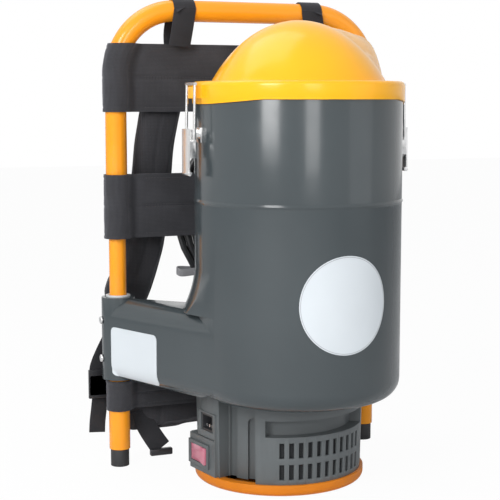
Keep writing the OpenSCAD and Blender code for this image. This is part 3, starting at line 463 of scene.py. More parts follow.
def tinted(colour, share):
    return tuple(min(1.0, c * share) for c in colour)


def plastic(name, colour, roughness, coat=0.0, grain=700.0, depth=0.06 * MM, vary=0.07, shine=0.5):
    """Moulded plastic or paint: slow colour drift, fine surface grain and uneven gloss."""
    material, tree, shader = new_material(name)
    where = place(tree, "TexCoord").outputs["Object"]
    drift = noise(tree, where, 9.0)
    gloss = noise(tree, where, 34.0, 5.0)
    feed(tree, shader, {
        "Base Color": shades(tree, drift, tinted(colour, 1 - vary), tinted(colour, 1 + vary)),
        "Roughness": spread(tree, gloss, max(0.04, roughness - 0.04), roughness + 0.05),
        "Specular IOR Level": shine,
        "Coat Weight": coat,
        "Coat Roughness": 0.08,
        "Normal": bump(tree, noise(tree, where, grain, 2.0), depth, 0.35),
    })
    return material


def brushed(name, colour, roughness, stretch=(420, 420, 40)):
    """Drawn steel: fine scratches along one direction."""
    material, tree, shader = new_material(name)
    where = place(tree, "TexCoord").outputs["Object"]
    turn = place(tree, "Mapping", {"Vector": where, "Scale": stretch})
    lines = noise(tree, turn.outputs["Vector"], 1.0, 4.0)
    feed(tree, shader, {
        "Base Color": shades(tree, lines, tinted(colour, 0.95), tinted(colour, 1.05)),
        "Roughness": spread(tree, lines, roughness - 0.03, roughness + 0.04),
        "Metallic": 1.0,
        "Normal": bump(tree, lines, 0.01 * MM, 0.15),
    })
    return material


def waves(tree, where, direction, period):
    """Bands of a period in metres: a wave's scale of 1 is a period of 0.314 m."""
    values = {"Vector": where, "Scale": 0.314159 / period, "Distortion": 0.6, "Detail": 1.0}
    return place(tree, "TexWave", values, wave_type="BANDS", bands_direction=direction).outputs["Fac"]


def combined(tree, operation, first, second):
    return place(tree, "Math", {0: first, 1: second}, operation=operation).outputs[0]


def woven(name, dark, light, pitch, source="UV", sheen=0.25, directions=("X", "Y"), depth=0.25 * MM):
    """Plain weave: warp and weft waves, a slow drift of shade and a soft nap."""
    material, tree, shader = new_material(name)
    where = place(tree, "TexCoord").outputs[source]
    warp, weft = (waves(tree, where, direction, pitch) for direction in directions)
    mixed = combined(tree, "MULTIPLY", warp, weft)
    lint = noise(tree, where, 900.0)
    drift = noise(tree, where, 22.0, 4.0)
    half = combined(tree, "MULTIPLY", combined(tree, "ADD", mixed, lint), 0.5)
    blend = place(tree, "Mix", {0: 0.45, 2: half, 3: drift}, data_type="FLOAT")
    feed(tree, shader, {
        "Base Color": shades(tree, blend.outputs[0], dark, light),
        "Roughness": spread(tree, drift, 0.8, 0.92),
        "Sheen Weight": sheen,
        "Sheen Roughness": 0.5,
        "Sheen Tint": (0.62, 0.62, 0.68, 1),
        "Specular IOR Level": 0.25,
        "Normal": bump(tree, half, depth, 0.55),
    })
    return material


MATERIALS = {}


def finish(name):
    """The object's finishes, each made once."""
    if name in MATERIALS:
        return MATERIALS[name]
    tones = settings()
    grey, case, orange, paint, cloth = (tuple(getattr(tones, part + "_colour"))
                                        for part in ("canister", "case", "lid", "tube", "fabric"))
    makers = {
        "canister": lambda: plastic("glossy_grey_plastic", grey, 0.18, coat=0.1, grain=260, depth=0.04 * MM,
                                    vary=0.06, shine=0.4),
        "case": lambda: plastic("satin_grey_plastic", case, 0.4, grain=900, depth=0.05 * MM, shine=0.3),
        "lid": lambda: plastic("glossy_orange_plastic", orange, 0.22, coat=0.06, grain=240, depth=0.03 * MM,
                               vary=0.03, shine=0.3),
        "base": lambda: plastic("orange_base_plastic", (0.68, 0.20, 0.006), 0.42, grain=800, shine=0.3),
        "tube": lambda: plastic("orange_tube_paint", paint, 0.22, coat=0.12, grain=300, depth=0.03 * MM,
                                vary=0.04, shine=0.35),
        "steel": lambda: brushed("drawn_steel", (0.66, 0.66, 0.66), 0.24),
        "dark_steel": lambda: brushed("dark_steel", (0.16, 0.17, 0.18), 0.4),
        "copper": lambda: brushed("wound_copper", (0.62, 0.30, 0.14), 0.35, (900, 900, 60)),
        "rubber": lambda: plastic("black_rubber", (0.022, 0.022, 0.024), 0.62, grain=1200, depth=0.1 * MM,
                                  vary=0.2),
        "black": lambda: plastic("black_plastic", (0.024, 0.024, 0.027), 0.34, grain=900, vary=0.15),
        "pale": lambda: plastic("pale_plastic", (0.62, 0.64, 0.65), 0.3),
        # Rocker: its red is the plastic's own colour; the lift towards pink is a painted highlight
        "red": lambda: plastic("red_switch_plastic", (0.60, 0.19, 0.26), 0.16, coat=0.4, grain=300,
                               depth=0.03 * MM),
        "label": lambda: plastic("white_label", (0.62, 0.66, 0.69), 0.32, grain=1500, depth=0.02 * MM,
                                 vary=0.03, shine=0.3),
        "label_line": lambda: plastic("grey_label_line", (0.30, 0.31, 0.33), 0.35, grain=1500,
                                      depth=0.02 * MM, vary=0.05),
        "paper": lambda: woven("bag_paper", (0.60, 0.55, 0.42), (0.74, 0.70, 0.58), 2.2 * MM, "Object", 0.1,
                               ("X", "Z")),
        "felt": lambda: woven("filter_felt", (0.018, 0.019, 0.02), (0.04, 0.042, 0.045), 1.6 * MM, "Object",
                              0.2, ("X", "Z")),
        "fabric": lambda: woven("band_fabric", tinted(cloth, 0.45), tinted(cloth, 1.3), 1.5 * MM, sheen=0.4),
        "pad": lambda: woven("pad_fabric", tinted(cloth, 0.5), tinted(cloth, 1.15), 1.7 * MM, "Object", 0.3,
                             ("X", "Z")),
        "webbing": lambda: woven("black_webbing", (0.012, 0.012, 0.014), (0.05, 0.05, 0.056), 1.1 * MM,
                                 sheen=0.2, directions=("Y", "X"), depth=0.35 * MM),
        "tie": lambda: woven("grey_tie", (0.20, 0.20, 0.21), (0.42, 0.42, 0.44), 1.1 * MM,
                             directions=("Y", "X")),
        "thread": lambda: plastic("black_thread", (0.05, 0.05, 0.056), 0.6, grain=2500, depth=0.05 * MM,
                                  vary=0.2),
        "lead": lambda: plastic("black_lead_sheath", (0.02, 0.02, 0.022), 0.36, grain=900, depth=0.04 * MM,
                                vary=0.15),
    }
    MATERIALS[name] = makers[name]()
    return MATERIALS[name]


# ---------------------------------------------------------------- sizes and colours

def tone(name, description, default):
    return FloatVectorProperty(name=name, description=description, default=default, subtype="COLOR", size=3,
                               min=0, max=1)


def dimension(name, description, default, low, high):
    """A length's default and limits, given in millimetres."""
    return FloatProperty(name=name, description=description, default=default * MM, min=low * MM,
                         max=high * MM, unit="LENGTH")


class VacuumSettings(PropertyGroup):
    """Sizes and colours that a user would change."""

    canister_colour: tone("Canister", "Colour of the canister", (0.050, 0.061, 0.066))
    case_colour: tone("Motor housing", "Colour of the motor housing", (0.115, 0.126, 0.13))
    lid_colour: tone("Lid", "Colour of the lid", (1.0, 0.46, 0.012))
    tube_colour: tone("Tubes", "Colour of the frame's paint", (0.97, 0.35, 0.016))
    fabric_colour: tone("Fabric", "Colour of bands and pads", (0.05, 0.05, 0.056))
    band_puff: dimension("Band fullness", "Thickness of a band between its seams", 5.2, 3, 6)
    sleeve_radius: dimension("Sleeve radius", "Outer radius of a band's sleeve round the tube", 15.2, 14, 16)
    pad_shrink: dimension("Pad inset", "How far a pad starts inside its CAD solid", 1.6, 0, 4)
    pad_voxel: dimension("Pad cell", "Cell size of a pad's cloth", 4.6, 4, 6)
    pad_pressure: FloatProperty(
        name="Pad pressure", description="Pressure that fills a pad", default=4.0, min=0, max=10)
    cloth_frames: IntProperty(
        name="Cloth steps", description="Steps of a pad's cloth simulation", default=20, min=5, max=30)
    label_width: dimension("Label width", "Width of the rating label", 83, 60, 90)
    sticker_radius: dimension("Sticker radius", "Radius of the round sticker", 52.5, 30, 60)


# ---------------------------------------------------------------- camera, stage and lead

class VACUUM_OT_camera(Operator):
    """Place the camera"""

    bl_idname = "vacuum.camera"
    bl_label = "Camera"

    def execute(self, context):
        data = bpy.data.cameras.new("view")
        data.sensor_width = 36
        data.lens = 92.92
        data.shift_x = -0.0041
        data.shift_y = 0.0104
        data.clip_start = 0.05
        data.dof.use_dof = False
        camera = new_object("view", data)
        camera.location = (-0.5962, -1.3462, 0.4366)
        camera.rotation_euler = (math.radians(90 - 6.87), 0, math.radians(-22.5))
        context.scene.camera = camera
        return {"FINISHED"}


def area_light(name, place_at, aim, size, power, colour=(1, 1, 1)):
    data = bpy.data.lights.new(name, "AREA")
    data.shape = "RECTANGLE"
    data.size, data.size_y = size
    data.energy = power
    data.color = colour
    lamp = new_object(name, data)
    lamp.location = place_at
    lamp.rotation_euler = (Vector(aim) - Vector(place_at)).to_track_quat("-Z", "Y").to_euler()


class VACUUM_OT_stage(Operator):
    """Make the pale floor, the white surroundings and the soft lights"""

    bl_idname = "vacuum.stage"
    bl_label = "Stage"

    def execute(self, context):
        deselect()
        bpy.ops.mesh.primitive_plane_add(size=14, location=(0, 0, -0.0004))
        floor = context.object
        floor.name = "floor"
        material, tree, shader = new_material("pale_floor")
        feed(tree, shader, {"Base Color": (0.86, 0.86, 0.86, 1), "Roughness": 0.7})
        glow = place(tree, "Emission", {"Color": (1, 1, 1, 1), "Strength": 1.0})
        seen = place(tree, "LightPath").outputs["Is Camera Ray"]
        mix = place(tree, "MixShader", {"Fac": combined(tree, "MULTIPLY", seen, 0.96),
                                        1: shader.outputs["BSDF"], 2: glow.outputs["Emission"]})
        output = next(n for n in tree.nodes if n.type == "OUTPUT_MATERIAL")
        feed(tree, output, {"Surface": mix.outputs["Shader"]})
        floor.data.materials.append(material)

        world = bpy.data.worlds.new("surroundings")
        context.scene.world = world
        world.use_nodes = True
        tree = world.node_tree
        tree.nodes.clear()
        dim = place(tree, "Background", {"Color": (0.93, 0.96, 1.0, 1), "Strength": 0.36})
        white = place(tree, "Background", {"Color": (1, 1, 1, 1), "Strength": 1.0})
        path = place(tree, "LightPath")
        seen = path.outputs["Is Camera Ray"]
        for ray in ("Is Glossy Ray", "Is Transmission Ray"):
            seen = combined(tree, "MAXIMUM", seen, path.outputs[ray])
        mix = place(tree, "MixShader",
                    {"Fac": seen, 1: dim.outputs["Background"], 2: white.outputs["Background"]})
        place(tree, "OutputWorld", {"Surface": mix.outputs["Shader"]})

        area_light("key", (-1.6, -1.2, 1.3), (0, 0, 0.32), (0.7, 1.3), 36)
        area_light("front", (-0.3, -1.9, 1.0), (0, 0, 0.3), (0.5, 1.0), 9)
        area_light("fill", (1.5, -1.5, 0.7), (0, 0, 0.25), (1.1, 1.4), 3, (0.95, 0.97, 1.0))
        area_light("crown", (-0.4, 0.5, 1.9), (0, 0, 0.4), (1.2, 1.2), 9)
        context.scene.view_settings.view_transform = "Standard"
        return {"FINISHED"}


def hank_point(t):
    """The lead's middle after t turns: inwards on the front layer, then outwards on the back one."""
    angle = 2 * math.pi * t + math.pi / 2
    growth = LEAD_STEP * max(0.0, abs(t - LEAD_TURNS / 2) - 0.25)
    depth = LEAD_LAYER * min(1.0, max(0.0, (t - LEAD_TURNS / 2 + 0.25) * 2))
    rise = (HANK_H + growth) * math.sin(angle)
    waist = 1 - 0.12 * falloff(HANK_Z + rise - WAIST_Z, 26 * MM)
    return Vector(((HANK_W + growth) * waist * math.cos(angle), LEG_Y + HANK_BACK + depth, HANK_Z + rise))


def lead_line():
    """The whole lead: its start above the hank, the turns and its end."""
    top = hank_point(0).z
    near, far = 4.5 * MM, LEAD_LAYER
    ends = ((6, 1, 0.3), (14, 4.5, 0.8), (22, 7, 1), (30, 7, 1))
    start = [Vector((x * MM, LEG_Y + HANK_BACK + near * share, top + z * MM))
             for x, z, share in reversed(ends)]
    end = [Vector((-x * MM, LEG_Y + HANK_BACK + far, top + z * MM)) for x, z, _ in ends]
    turns = [hank_point(i / TURN_STEPS) for i in range(LEAD_TURNS * TURN_STEPS + 1)]
    return spline(start, 4)[:-1] + [start[-1]] + turns + spline(end, 4)


def grip_profile(reach):
    """Ribbed sleeve that widens into a moulded body, in millimetres along and across."""
    profile = [(0, 3.7)]
    for i in range(4):
        z, wide, slim = 0.6 + i * 2.6, i * 0.5, 3.9 + i * 0.45
        profile += [(z, 4.3 + wide), (z + 1.5, 4.4 + wide), (z + 1.6, slim), (z + 2.5, slim)]
    profile += [(11.5, 6.4), (13, 7.5), (15, 7.9), (reach - 1, 7.9), (reach, 7.2)]
    return [(z * MM, r * MM) for z, r in profile]


def tie_strap():
    """Strap round the hank's waist, with rounded corners and a slight wave."""
    steps = 64
    half = (HANK_W + LEAD_STEP * LEAD_TURNS / 2) * 0.9 + 4.6 * MM
    deep = LEAD_LAYER / 2 + LEAD_D / 2 + 0.9 * MM
    middle = LEG_Y + HANK_BACK + LEAD_LAYER / 2
    loop = []
    for k, turn in enumerate(circle(steps)):
        x, y = (math.copysign(abs(share) ** 0.35, share) for share in turn)
        wave = 1.2 * MM * math.sin(6 * math.pi * k / steps)
        loop.append(Vector((half * x, middle + deep * y, WAIST_Z - 0.5 * MM + wave)))
    section = ((-0.5, -0.3), (-0.5, 0.3), (-0.4, 0.5), (0.4, 0.5), (0.5, 0.3), (0.5, -0.3), (0.4, -0.5),
               (-0.4, -0.5))
    rings = [[point + UP * (u * TIE_WIDTH) + out.normalized() * (v * TIE_THICK) for u, v in section]
             for point, out in zip(loop, outwards(loop))]
    tie = lofted("lead_tie_strap", rings, [i * 4 * MM for i in range(steps + 1)], joined=True)
    smooth(tie, 50)
    return tie


class VACUUM_OT_lead(Operator):
    """Lay the power lead in its hank, with its connector, plug and tie"""

    bl_idname = "vacuum.lead"
    bl_label = "Power lead"

    def execute(self, context):
        line = lead_line()
        data = bpy.data.curves.new("power_lead", "CURVE")
        data.dimensions = "3D"
        path = data.splines.new("POLY")
        path.points.add(len(line) - 1)
        for point, place_at in zip(path.points, line):
            point.co = (*place_at, 1)
        data.bevel_depth = LEAD_D / 2
        data.bevel_resolution = 3
        data.use_fill_caps = True
        lead = finish_piece(new_object("power_lead", data), "carry_frame", "lead")
        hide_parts("lead_hank")

        connector = lathe("lead_connector_body", grip_profile(30), line[0], SIDEWAYS)
        finish_piece(connector, "carry_frame", "rubber")
        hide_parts("lead_connector")
        plug = lathe("lead_plug_body", grip_profile(23), line[-1], -SIDEWAYS)
        finish_piece(plug, "carry_frame", "rubber")
        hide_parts("lead_plug")
        for side, word in ((-1, "low"), (1, "high")):
            start = line[-1] + Vector((-22.5 * MM, 0, side * 4 * MM))
            profile = [(z * MM, r * MM) for z, r in ((0, 2), (6.4, 2), (7.1, 1.6), (7.4, 0.9))]
            pin = lathe("plug_pin_" + word, profile, start, -SIDEWAYS, 14)
            finish_piece(pin, "carry_frame", "steel")
        tie = finish_piece(tie_strap(), "carry_frame", "tie")
        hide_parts("lead_tie")

        return {"FINISHED"}


# ---------------------------------------------------------------- shells

class VACUUM_OT_canister(Operator):
    """Dress the canister with its wings"""

    bl_idname = "vacuum.canister"
    bl_label = "Canister"

    def execute(self, context):
        dressed_copy("canister_housing", "canister_shell", 1.2 * MM, "canister", 28, 3)
        return {"FINISHED"}


class VACUUM_OT_lid(Operator):
    """Dress the lid, its gasket and the hose sleeve"""

    bl_idname = "vacuum.lid"
    bl_label = "Lid"

    def execute(self, context):
        dressed_copy("lid", "dome_lid", 1.4 * MM, "lid", 24, 3)
        dressed_copy("hose_socket", "hose_sleeve", 0.6 * MM, "black")
        coat_node("lid_gasket", "rubber")
        return {"FINISHED"}


class VACUUM_OT_motor_case(Operator):
    """Dress the motor housing, its base and its screws"""

    bl_idname = "vacuum.motor_case"
    bl_label = "Motor housing"

    def execute(self, context):
        dressed_copy("motor_housing", "motor_case_shell", 0.7 * MM, "case")
        dressed_copy("base_plate", "orange_base", 0.8 * MM, "base")
        coat_node("base_screws", "steel")
        coat_node("exhaust_filter", "felt")
        return {"FINISHED"}


class VACUUM_OT_switch(Operator):
    """Dress the rocker switch and the mains inlet"""

    bl_idname = "vacuum.switch"
    bl_label = "Switch and inlet"

    def execute(self, context):
        dressed_copy("switch_frame", "switch_bezel", 0.5 * MM, "case")
        # The rocker's colour is its own red, lifted towards pink by a painted highlight
        dressed_copy("switch_rocker", "red_rocker", 0.5 * MM, "red")
        dressed_copy("inlet_socket", "inlet_body", 0.5 * MM, "black")
        coat_node("inlet_pins", "steel")
        return {"FINISHED"}


class VACUUM_OT_latches(Operator):
    """Dress the two toggle latches"""

    bl_idname = "vacuum.latches"
    bl_label = "Latches"

    def execute(self, context):
        for node, name in (("latch_bases", "latch_brackets"), ("lever_left", "latch_lever_left"),
                           ("lever_right", "latch_lever_right")):
            dressed_copy(node, name, 0.35 * MM, "steel")
        for node in ("latch_pins", "bail_left", "bail_right"):
            coat_node(node, "steel")
        return {"FINISHED"}


class VACUUM_OT_tubes(Operator):
    """Dress the frame's tubes, caps, collars and screws"""

    bl_idname = "vacuum.tubes"
    bl_label = "Tubes"

    def execute(self, context):
        dressed_copy("u_frame", "upper_frame_tube", 0.5 * MM, "tube")
        dressed_copy("lower_tubes", "lower_frame_tubes", 0.5 * MM, "tube")
        dressed_copy("slide_tubes", "inner_slide_tubes", 0.3 * MM, "tube")
        dressed_copy("tube_caps", "tube_feet", 1.6 * MM, "rubber", 30, 3)
        dressed_copy("socket_collars", "guide_collars", 0.5 * MM, "pale")
        dressed_copy("socket_screws", "socket_screw_heads", 0.9 * MM, "steel", 30, 3)
        dressed_copy("frame_rivets", "frame_rivet_heads", 0.3 * MM, "steel")
        return {"FINISHED"}


class VACUUM_OT_inside(Operator):
    """Give the pieces inside their finishes"""

    bl_idname = "vacuum.inside"
    bl_label = "Inside"

    def execute(self, context):
        looks = {
            "black": ("intake_grid", "filter_basket", "brush_holders"),
            "paper": ("dust_bag", "bag_collar"),
            "rubber": ("motor_gasket", "motor_mount"),
            "steel": ("fan_housing", "impeller", "shaft", "upper_bearing", "lower_bearing", "motor_frame"),
            "dark_steel": ("stator",),
            "copper": ("armature", "commutator"),
        }
        for look, nodes in looks.items():
            for node in nodes:
                coat_node(node, look)
        return {"FINISHED"}


# ---------------------------------------------------------------- labels

def wing_face():
    """Start, heading and outward normal of the left wing's front face, in plan."""
    crease = Vector((LEG_X, CAN_SETBACK)) + SOCKET_R * Vector((math.cos(WING_CREASE), math.sin(WING_CREASE)))
    reach = CAN_R - 0.8 * MM
    angle = math.atan2(crease.y, crease.x) - math.acos(reach / crease.length)
    touch = reach * Vector((math.cos(angle), math.sin(angle)))
    heading = (crease - touch).normalized()
    normal = Vector((heading.y, -heading.x))
    return (Vector((-crease.x, crease.y + CAN_Y)), Vector((heading.x, -heading.y)),
            Vector((-normal.x, normal.y)))


def rounded_outline(width, height, radius, steps=6, side_steps=24):
    """Rectangle with round corners, its sides cut into short steps so that it can bend."""
    corners = ((width - radius, height - radius, 0), (radius, height - radius, 90),
               (radius, radius, 180), (width - radius, radius, 270))
    arcs = [[(cx + radius * math.cos(math.radians(a + 90 * i / steps)),
              cy + radius * math.sin(math.radians(a + 90 * i / steps))) for i in range(steps + 1)]
            for cx, cy, a in corners]
    outline = []
    for arc, following in zip(arcs, arcs[1:] + arcs[:1]):
        (x0, y0), (x1, y1) = arc[-1], following[0]
        outline += arc
        outline += [(x0 + (x1 - x0) * i / side_steps, y0 + (y1 - y0) * i / side_steps)
                    for i in range(1, side_steps)]
    return outline


def patch(name, outline, where, lift):
    """Thin sheet over a curved face: an outline drawn in towards its middle, and its rim turned down."""
    count = len(outline)
    cx, cy = (sum(values) / count for values in zip(*outline))
    shares = (1.0, 0.97, 0.92, 0.86, 0.78, 0.68, 0.56, 0.42, 0.28, 0.14)
    points = [where(cx + (u - cx) * share, cy + (v - cy) * share, lift)
              for share in shares for u, v in outline]
    faces = quads(len(shares), count) + caps(len(shares), count)[1:]
    base = len(points)
    points += [where(u, v, RIM_LIFT) for u, v in outline]
    for k in range(count):
        n = (k + 1) % count
        faces.append((k, base + k, base + n, n))
    piece = mesh_piece(name, points, faces)
    smooth(piece, 40)
    return finish_piece(piece, "housing", "label")


class VACUUM_OT_labels(Operator):
    """Put the bare round sticker on the canister and the bare rating label on the left wing"""

    bl_idname = "vacuum.labels"
    bl_label = "Labels"

    def execute(self, context):
        sizes = settings()
        crease, heading, normal = (Vector((*p, 0)) for p in wing_face())
        skin = skin_of(bpy.data.objects["canister_shell"])

        def on_wing(u, v, lift):
            start = crease + heading * (u + LABEL_START) + normal * 50 * MM + UP * (LABEL_LOW + v)
            place_at, outward = skin.ray_cast(start, -normal)[:2]
            return place_at + outward * lift

        def on_canister(u, v, lift):
            r, angle = CAN_R + lift, u / CAN_R + STICKER_TURN
            return Vector((r * math.cos(angle), CAN_Y + r * math.sin(angle), STICKER_Z + v))

        outline = rounded_outline(sizes.label_width, LABEL_HIGH - LABEL_LOW, 6 * MM)
        patch("rating_label", outline, on_wing, LABEL_LIFT)
        patch("round_sticker", circle(72, sizes.sticker_radius), on_canister, STICKER_LIFT)
        line = [on_canister(u, v, 0.32 * MM) for u, v in circle(96, sizes.sticker_radius - 1.4 * MM)]
        edge = hoop("round_sticker_edge", line, 0.28 * MM, 6)
        finish_piece(edge, "housing", "label_line")
        return {"FINISHED"}


# ---------------------------------------------------------------- fabric bands

def leg_place(z):
    """Distance of a leg's axis from the middle, and its slant, at a height."""
    if z <= BEND_Z:
        return LEG_X, 1.0
    rise = min(z - BEND_Z, BEND_R * 0.98)
    run = math.sqrt(BEND_R ** 2 - rise ** 2)
    return LEG_X - BEND_R + run, run / BEND_R


def puckers(x, z, seed):
    """Uneven folds of sewn cloth, from about -1 to 1."""
    return (math.sin(x * 410 + seed * 1.7 + 2.2 * math.sin(z * 95 + seed)) * 0.5
            + math.sin(x * 173 + z * 61 + seed * 2.9) * 0.3 + math.sin(x * 760 + z * 330 + seed) * 0.2)


def band_ring(z, low, high, seed):
    """One level of a band: front layer, right sleeve, back layer, left sleeve."""
    sizes = settings()
    leg, slant = leg_place(z)
    height = high - low
    from_edge = min(z - low, high - z)
    from_seam = z - low - height / 2
    hem = falloff(from_edge - 1.6 * MM, 1.8 * MM)
    groove = falloff(from_edge - HEM_STITCH, 0.9 * MM)
    seam = falloff(from_seam, 1.5 * MM)
    near_seam = math.exp(-(abs(from_seam) / (7 * MM)))
    side_seam = leg - (sizes.sleeve_radius + 4.6 * MM) / slant
    full = sizes.band_puff / 2 * (0.72 + 0.28 * math.sin(math.pi * min(max((z - low) / height, 0), 1)))

    def depth(x):
        fold = puckers(x, z, seed) * MM * (0.3 + 0.8 * near_seam)
        value = full + fold + 0.5 * MM * hem - 0.5 * MM * groove - 1.7 * MM * seam
        return max(0.7 * MM, value * (1 - 0.62 * falloff(side_seam - abs(x), 3.2 * MM)))

    across = [-side_seam + 2 * side_seam * i / BAND_STEPS for i in range(BAND_STEPS + 1)]
    sleeve = []
    for i in range(BAND_STEPS + 1):
        a = math.radians(218 + i * 284 / BAND_STEPS)
        crease = 0.35 * MM * puckers(a * 0.03, z, seed + 5) + 0.4 * MM * hem - 0.35 * MM * groove
        r = sizes.sleeve_radius + crease - 0.4 * MM * seam
        sleeve.append((leg + r * math.cos(a) / slant, r * math.sin(a)))
    ring = [(x, -depth(x)) for x in across] + sleeve
    ring += [(-x, depth(-x)) for x in across] + [(-x, -y) for x, y in sleeve]
    return [Vector((x, LEG_Y + y, z)) for x, y in ring]


def make_band(name, node, low, high, seed):
    """A sewn band: its outer skin, an inner skin behind it, and four rows of stitches."""
    rows = 30
    outer = [band_ring(low + (high - low) * i / rows, low, high, seed) for i in range(rows + 1)]
    inner = [[point - out * min(BAND_CLOTH, 0.45 * abs(point.y - LEG_Y) + 0.25 * MM)
              for point, out in zip(ring, outwards(ring))] for ring in outer]
    rings = outer + inner[::-1]
    step = (high - low) / rows
    piece = lofted(name, rings, [i * step for i in range(len(rings) + 1)], joined=True)
    smooth(piece, 70)
    body = body_of_node(node)
    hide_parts(node)
    finish_piece(piece, body, "fabric")

    middle = (low + high) / 2
    front = slice(2, BAND_STEPS - 1)
    back = slice(2 * BAND_STEPS + 4, 3 * BAND_STEPS + 1)
    threads = []
    for z in (low + HEM_STITCH, high - HEM_STITCH, middle - SEAM_STITCH, middle + SEAM_STITCH):
        ring = band_ring(z, low, high, seed)
        whole = list(zip(ring, outwards(ring)))
        threads += [whole[front], whole[back]]
    stitches(name + "_stitching", threads, body)


class VACUUM_OT_bands(Operator):
    """Sew the three fabric bands round the frame's legs"""

    bl_idname = "vacuum.bands"
    bl_label = "Bands"

    def execute(self, context):
        make_band("upper_fabric_band", "upper_band", 422.4 * MM, 501.6 * MM, 1.0)
        make_band("middle_fabric_band", "mid_band", 274.4 * MM, 349.6 * MM, 2.3)
        make_band("lumbar_fabric_band", "lumbar_band", 68.4 * MM, 104.6 * MM, 4.1)
        return {"FINISHED"}


# ---------------------------------------------------------------- padded pieces

def swollen(name, node):
    """A pad's cloth: remeshed, filled by pressure, capped in its movement and smoothed."""
    sizes = settings()
    piece = node_copy(node, name)
    recalculate(piece, 0.01 * MM)
    with editing(piece):
        bpy.ops.transform.shrink_fatten(value=-sizes.pad_shrink)
    add_modifier("REMESH", mode="VOXEL", voxel_size=sizes.pad_voxel)
    apply_modifiers(piece)
    start = [v.co.copy() for v in piece.data.vertices]
    cloth = add_modifier("CLOTH")
    cloth.settings.use_pressure = True
    cloth.settings.uniform_pressure_force = sizes.pad_pressure
    cloth.settings.effector_weights.gravity = 0
    cloth.settings.quality = 5
    cloth.point_cache.frame_start = 1
    cloth.point_cache.frame_end = sizes.cloth_frames
    scene = bpy.context.scene
    for step in range(1, sizes.cloth_frames + 1):
        scene.frame_set(step)
    apply_modifiers(piece)
    for vertex, before in zip(piece.data.vertices, start):
        move = vertex.co - before
        if move.length > PAD_CAP:
            vertex.co = before + move.normalized() * PAD_CAP
    scene.frame_set(1)
    add_modifier("SUBSURF", levels=1, render_levels=1)
    apply_modifiers(piece)
    return piece


def groove_lines(piece, distance_to_seam, depth, width):
    """Draws the surface in along a sewn line."""
    for vertex, normal in zip(piece.data.vertices, [v.normal.copy() for v in piece.data.vertices]):
        away = distance_to_seam(vertex.co, normal)
        if away is not None and away < 3 * width:
            vertex.co -= normal * depth * falloff(away, width)
    piece.data.update()


def pad_path(side):
    return spline([(side * x * MM, LEG_Y + y * MM, z * MM) for x, y, z in PAD_LINE], 6)


def nearest(line, point):
    return min(range(len(line)), key=lambda i: (line[i] - point).length_squared)


def hugging(skin, middle, outward, reach):
    """Where a line from outside to the middle meets a skin, or the end of the reach if it misses."""
    found = skin.ray_cast(middle + outward * 2 * reach, -outward, 2 * reach)[0]
    return found if found is not None else middle + outward * reach


def evened(loop, rounds=2):
    """A closed loop of points with its small jumps smoothed away."""
    for _ in range(rounds):
        count = len(loop)
        loop = [(loop[i - 1] + loop[i] * 2 + loop[(i + 1) % count]) / 4 for i in range(count)]
    return loop


class VACUUM_OT_shoulder_pads(Operator):
    """Fill the two shoulder pads and bind their edges"""

    bl_idname = "vacuum.shoulder_pads"
    bl_label = "Shoulder pads"

    def execute(self, context):
        for side, word in ((-1, "left"), (1, "right")):
            line = pad_path(side)
            ways = headings(line)
            pad = swollen("shoulder_pad_cloth_" + word, "shoulder_pad_" + word)

            def off_seam(point, normal):
                i = nearest(line, point)
                across = abs(point.x - line[i].x)
                return min(across, abs(across - PAD_SEAM)) if 4 < i < len(line) - 5 else None

            groove_lines(pad, off_seam, 1.3 * MM, 1.6 * MM)
            smooth(pad, 180)
            finish_piece(pad, "carry_frame", "pad")
            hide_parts("shoulder_pad_" + word)

            skin = skin_of(pad)
            outline = []
            for sign, order in ((1, range(2, len(line) - 2)), (-1, range(len(line) - 3, 1, -1))):
                for i in order:
                    out = ways[i].cross(SIDEWAYS).normalized()
                    across = out.cross(ways[i]).normalized() * sign
                    outline.append(hugging(skin, line[i], across, 33 * MM))
            binding = hoop("pad_binding_" + word, evened(outline), 1.9 * MM)
            finish_piece(binding, "carry_frame", "thread")
        return {"FINISHED"}


class VACUUM_OT_hip_pad(Operator):
    """Fill the hip pad and bind its edge"""

    bl_idname = "vacuum.hip_pad"
    bl_label = "Hip pad"

    def execute(self, context):
        pad = swollen("hip_pad_cloth", "hip_pad")

        def off_seam(point, normal):
            return min(abs(abs(point.x) - x) for x in HIP_SEAMS) if abs(normal.y) > 0.4 else None

        groove_lines(pad, off_seam, 1.8 * MM, 2.0 * MM)
        smooth(pad, 180)
        finish_piece(pad, "housing", "pad")
        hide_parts("hip_pad")
        (left, front, low), (right, back, high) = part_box("hip_pad")
        y, z, half = (front + back) / 2, (low + high) / 2, (right - left) / 2
        skin = skin_of(pad)
        steps = 96
        edge = []
        for sign in (-1, 1):
            for i in range(steps + 1):
                x = -sign * half * 0.97 * (1 - 2 * i / steps)
                edge.append(hugging(skin, Vector((x, y, z)), UP * sign, (high - low) / 2))
            for k in (-0.5, 0, 0.5):
                middle = Vector((0, y, z - sign * k * (high - low) * 0.6))
                edge.append(hugging(skin, middle, SIDEWAYS * sign, half))
        binding = hoop("hip_pad_binding", evened(edge), 1.8 * MM)
        finish_piece(binding, "housing", "thread")
        return {"FINISHED"}


# ---------------------------------------------------------------- webbing and buckles

def at_frame(points, side):
    """Points in millimetres, their depth measured from the legs, on one side of the frame."""
    return [Vector((side * x * MM, LEG_Y + y * MM, z * MM)) for x, y, z in points]


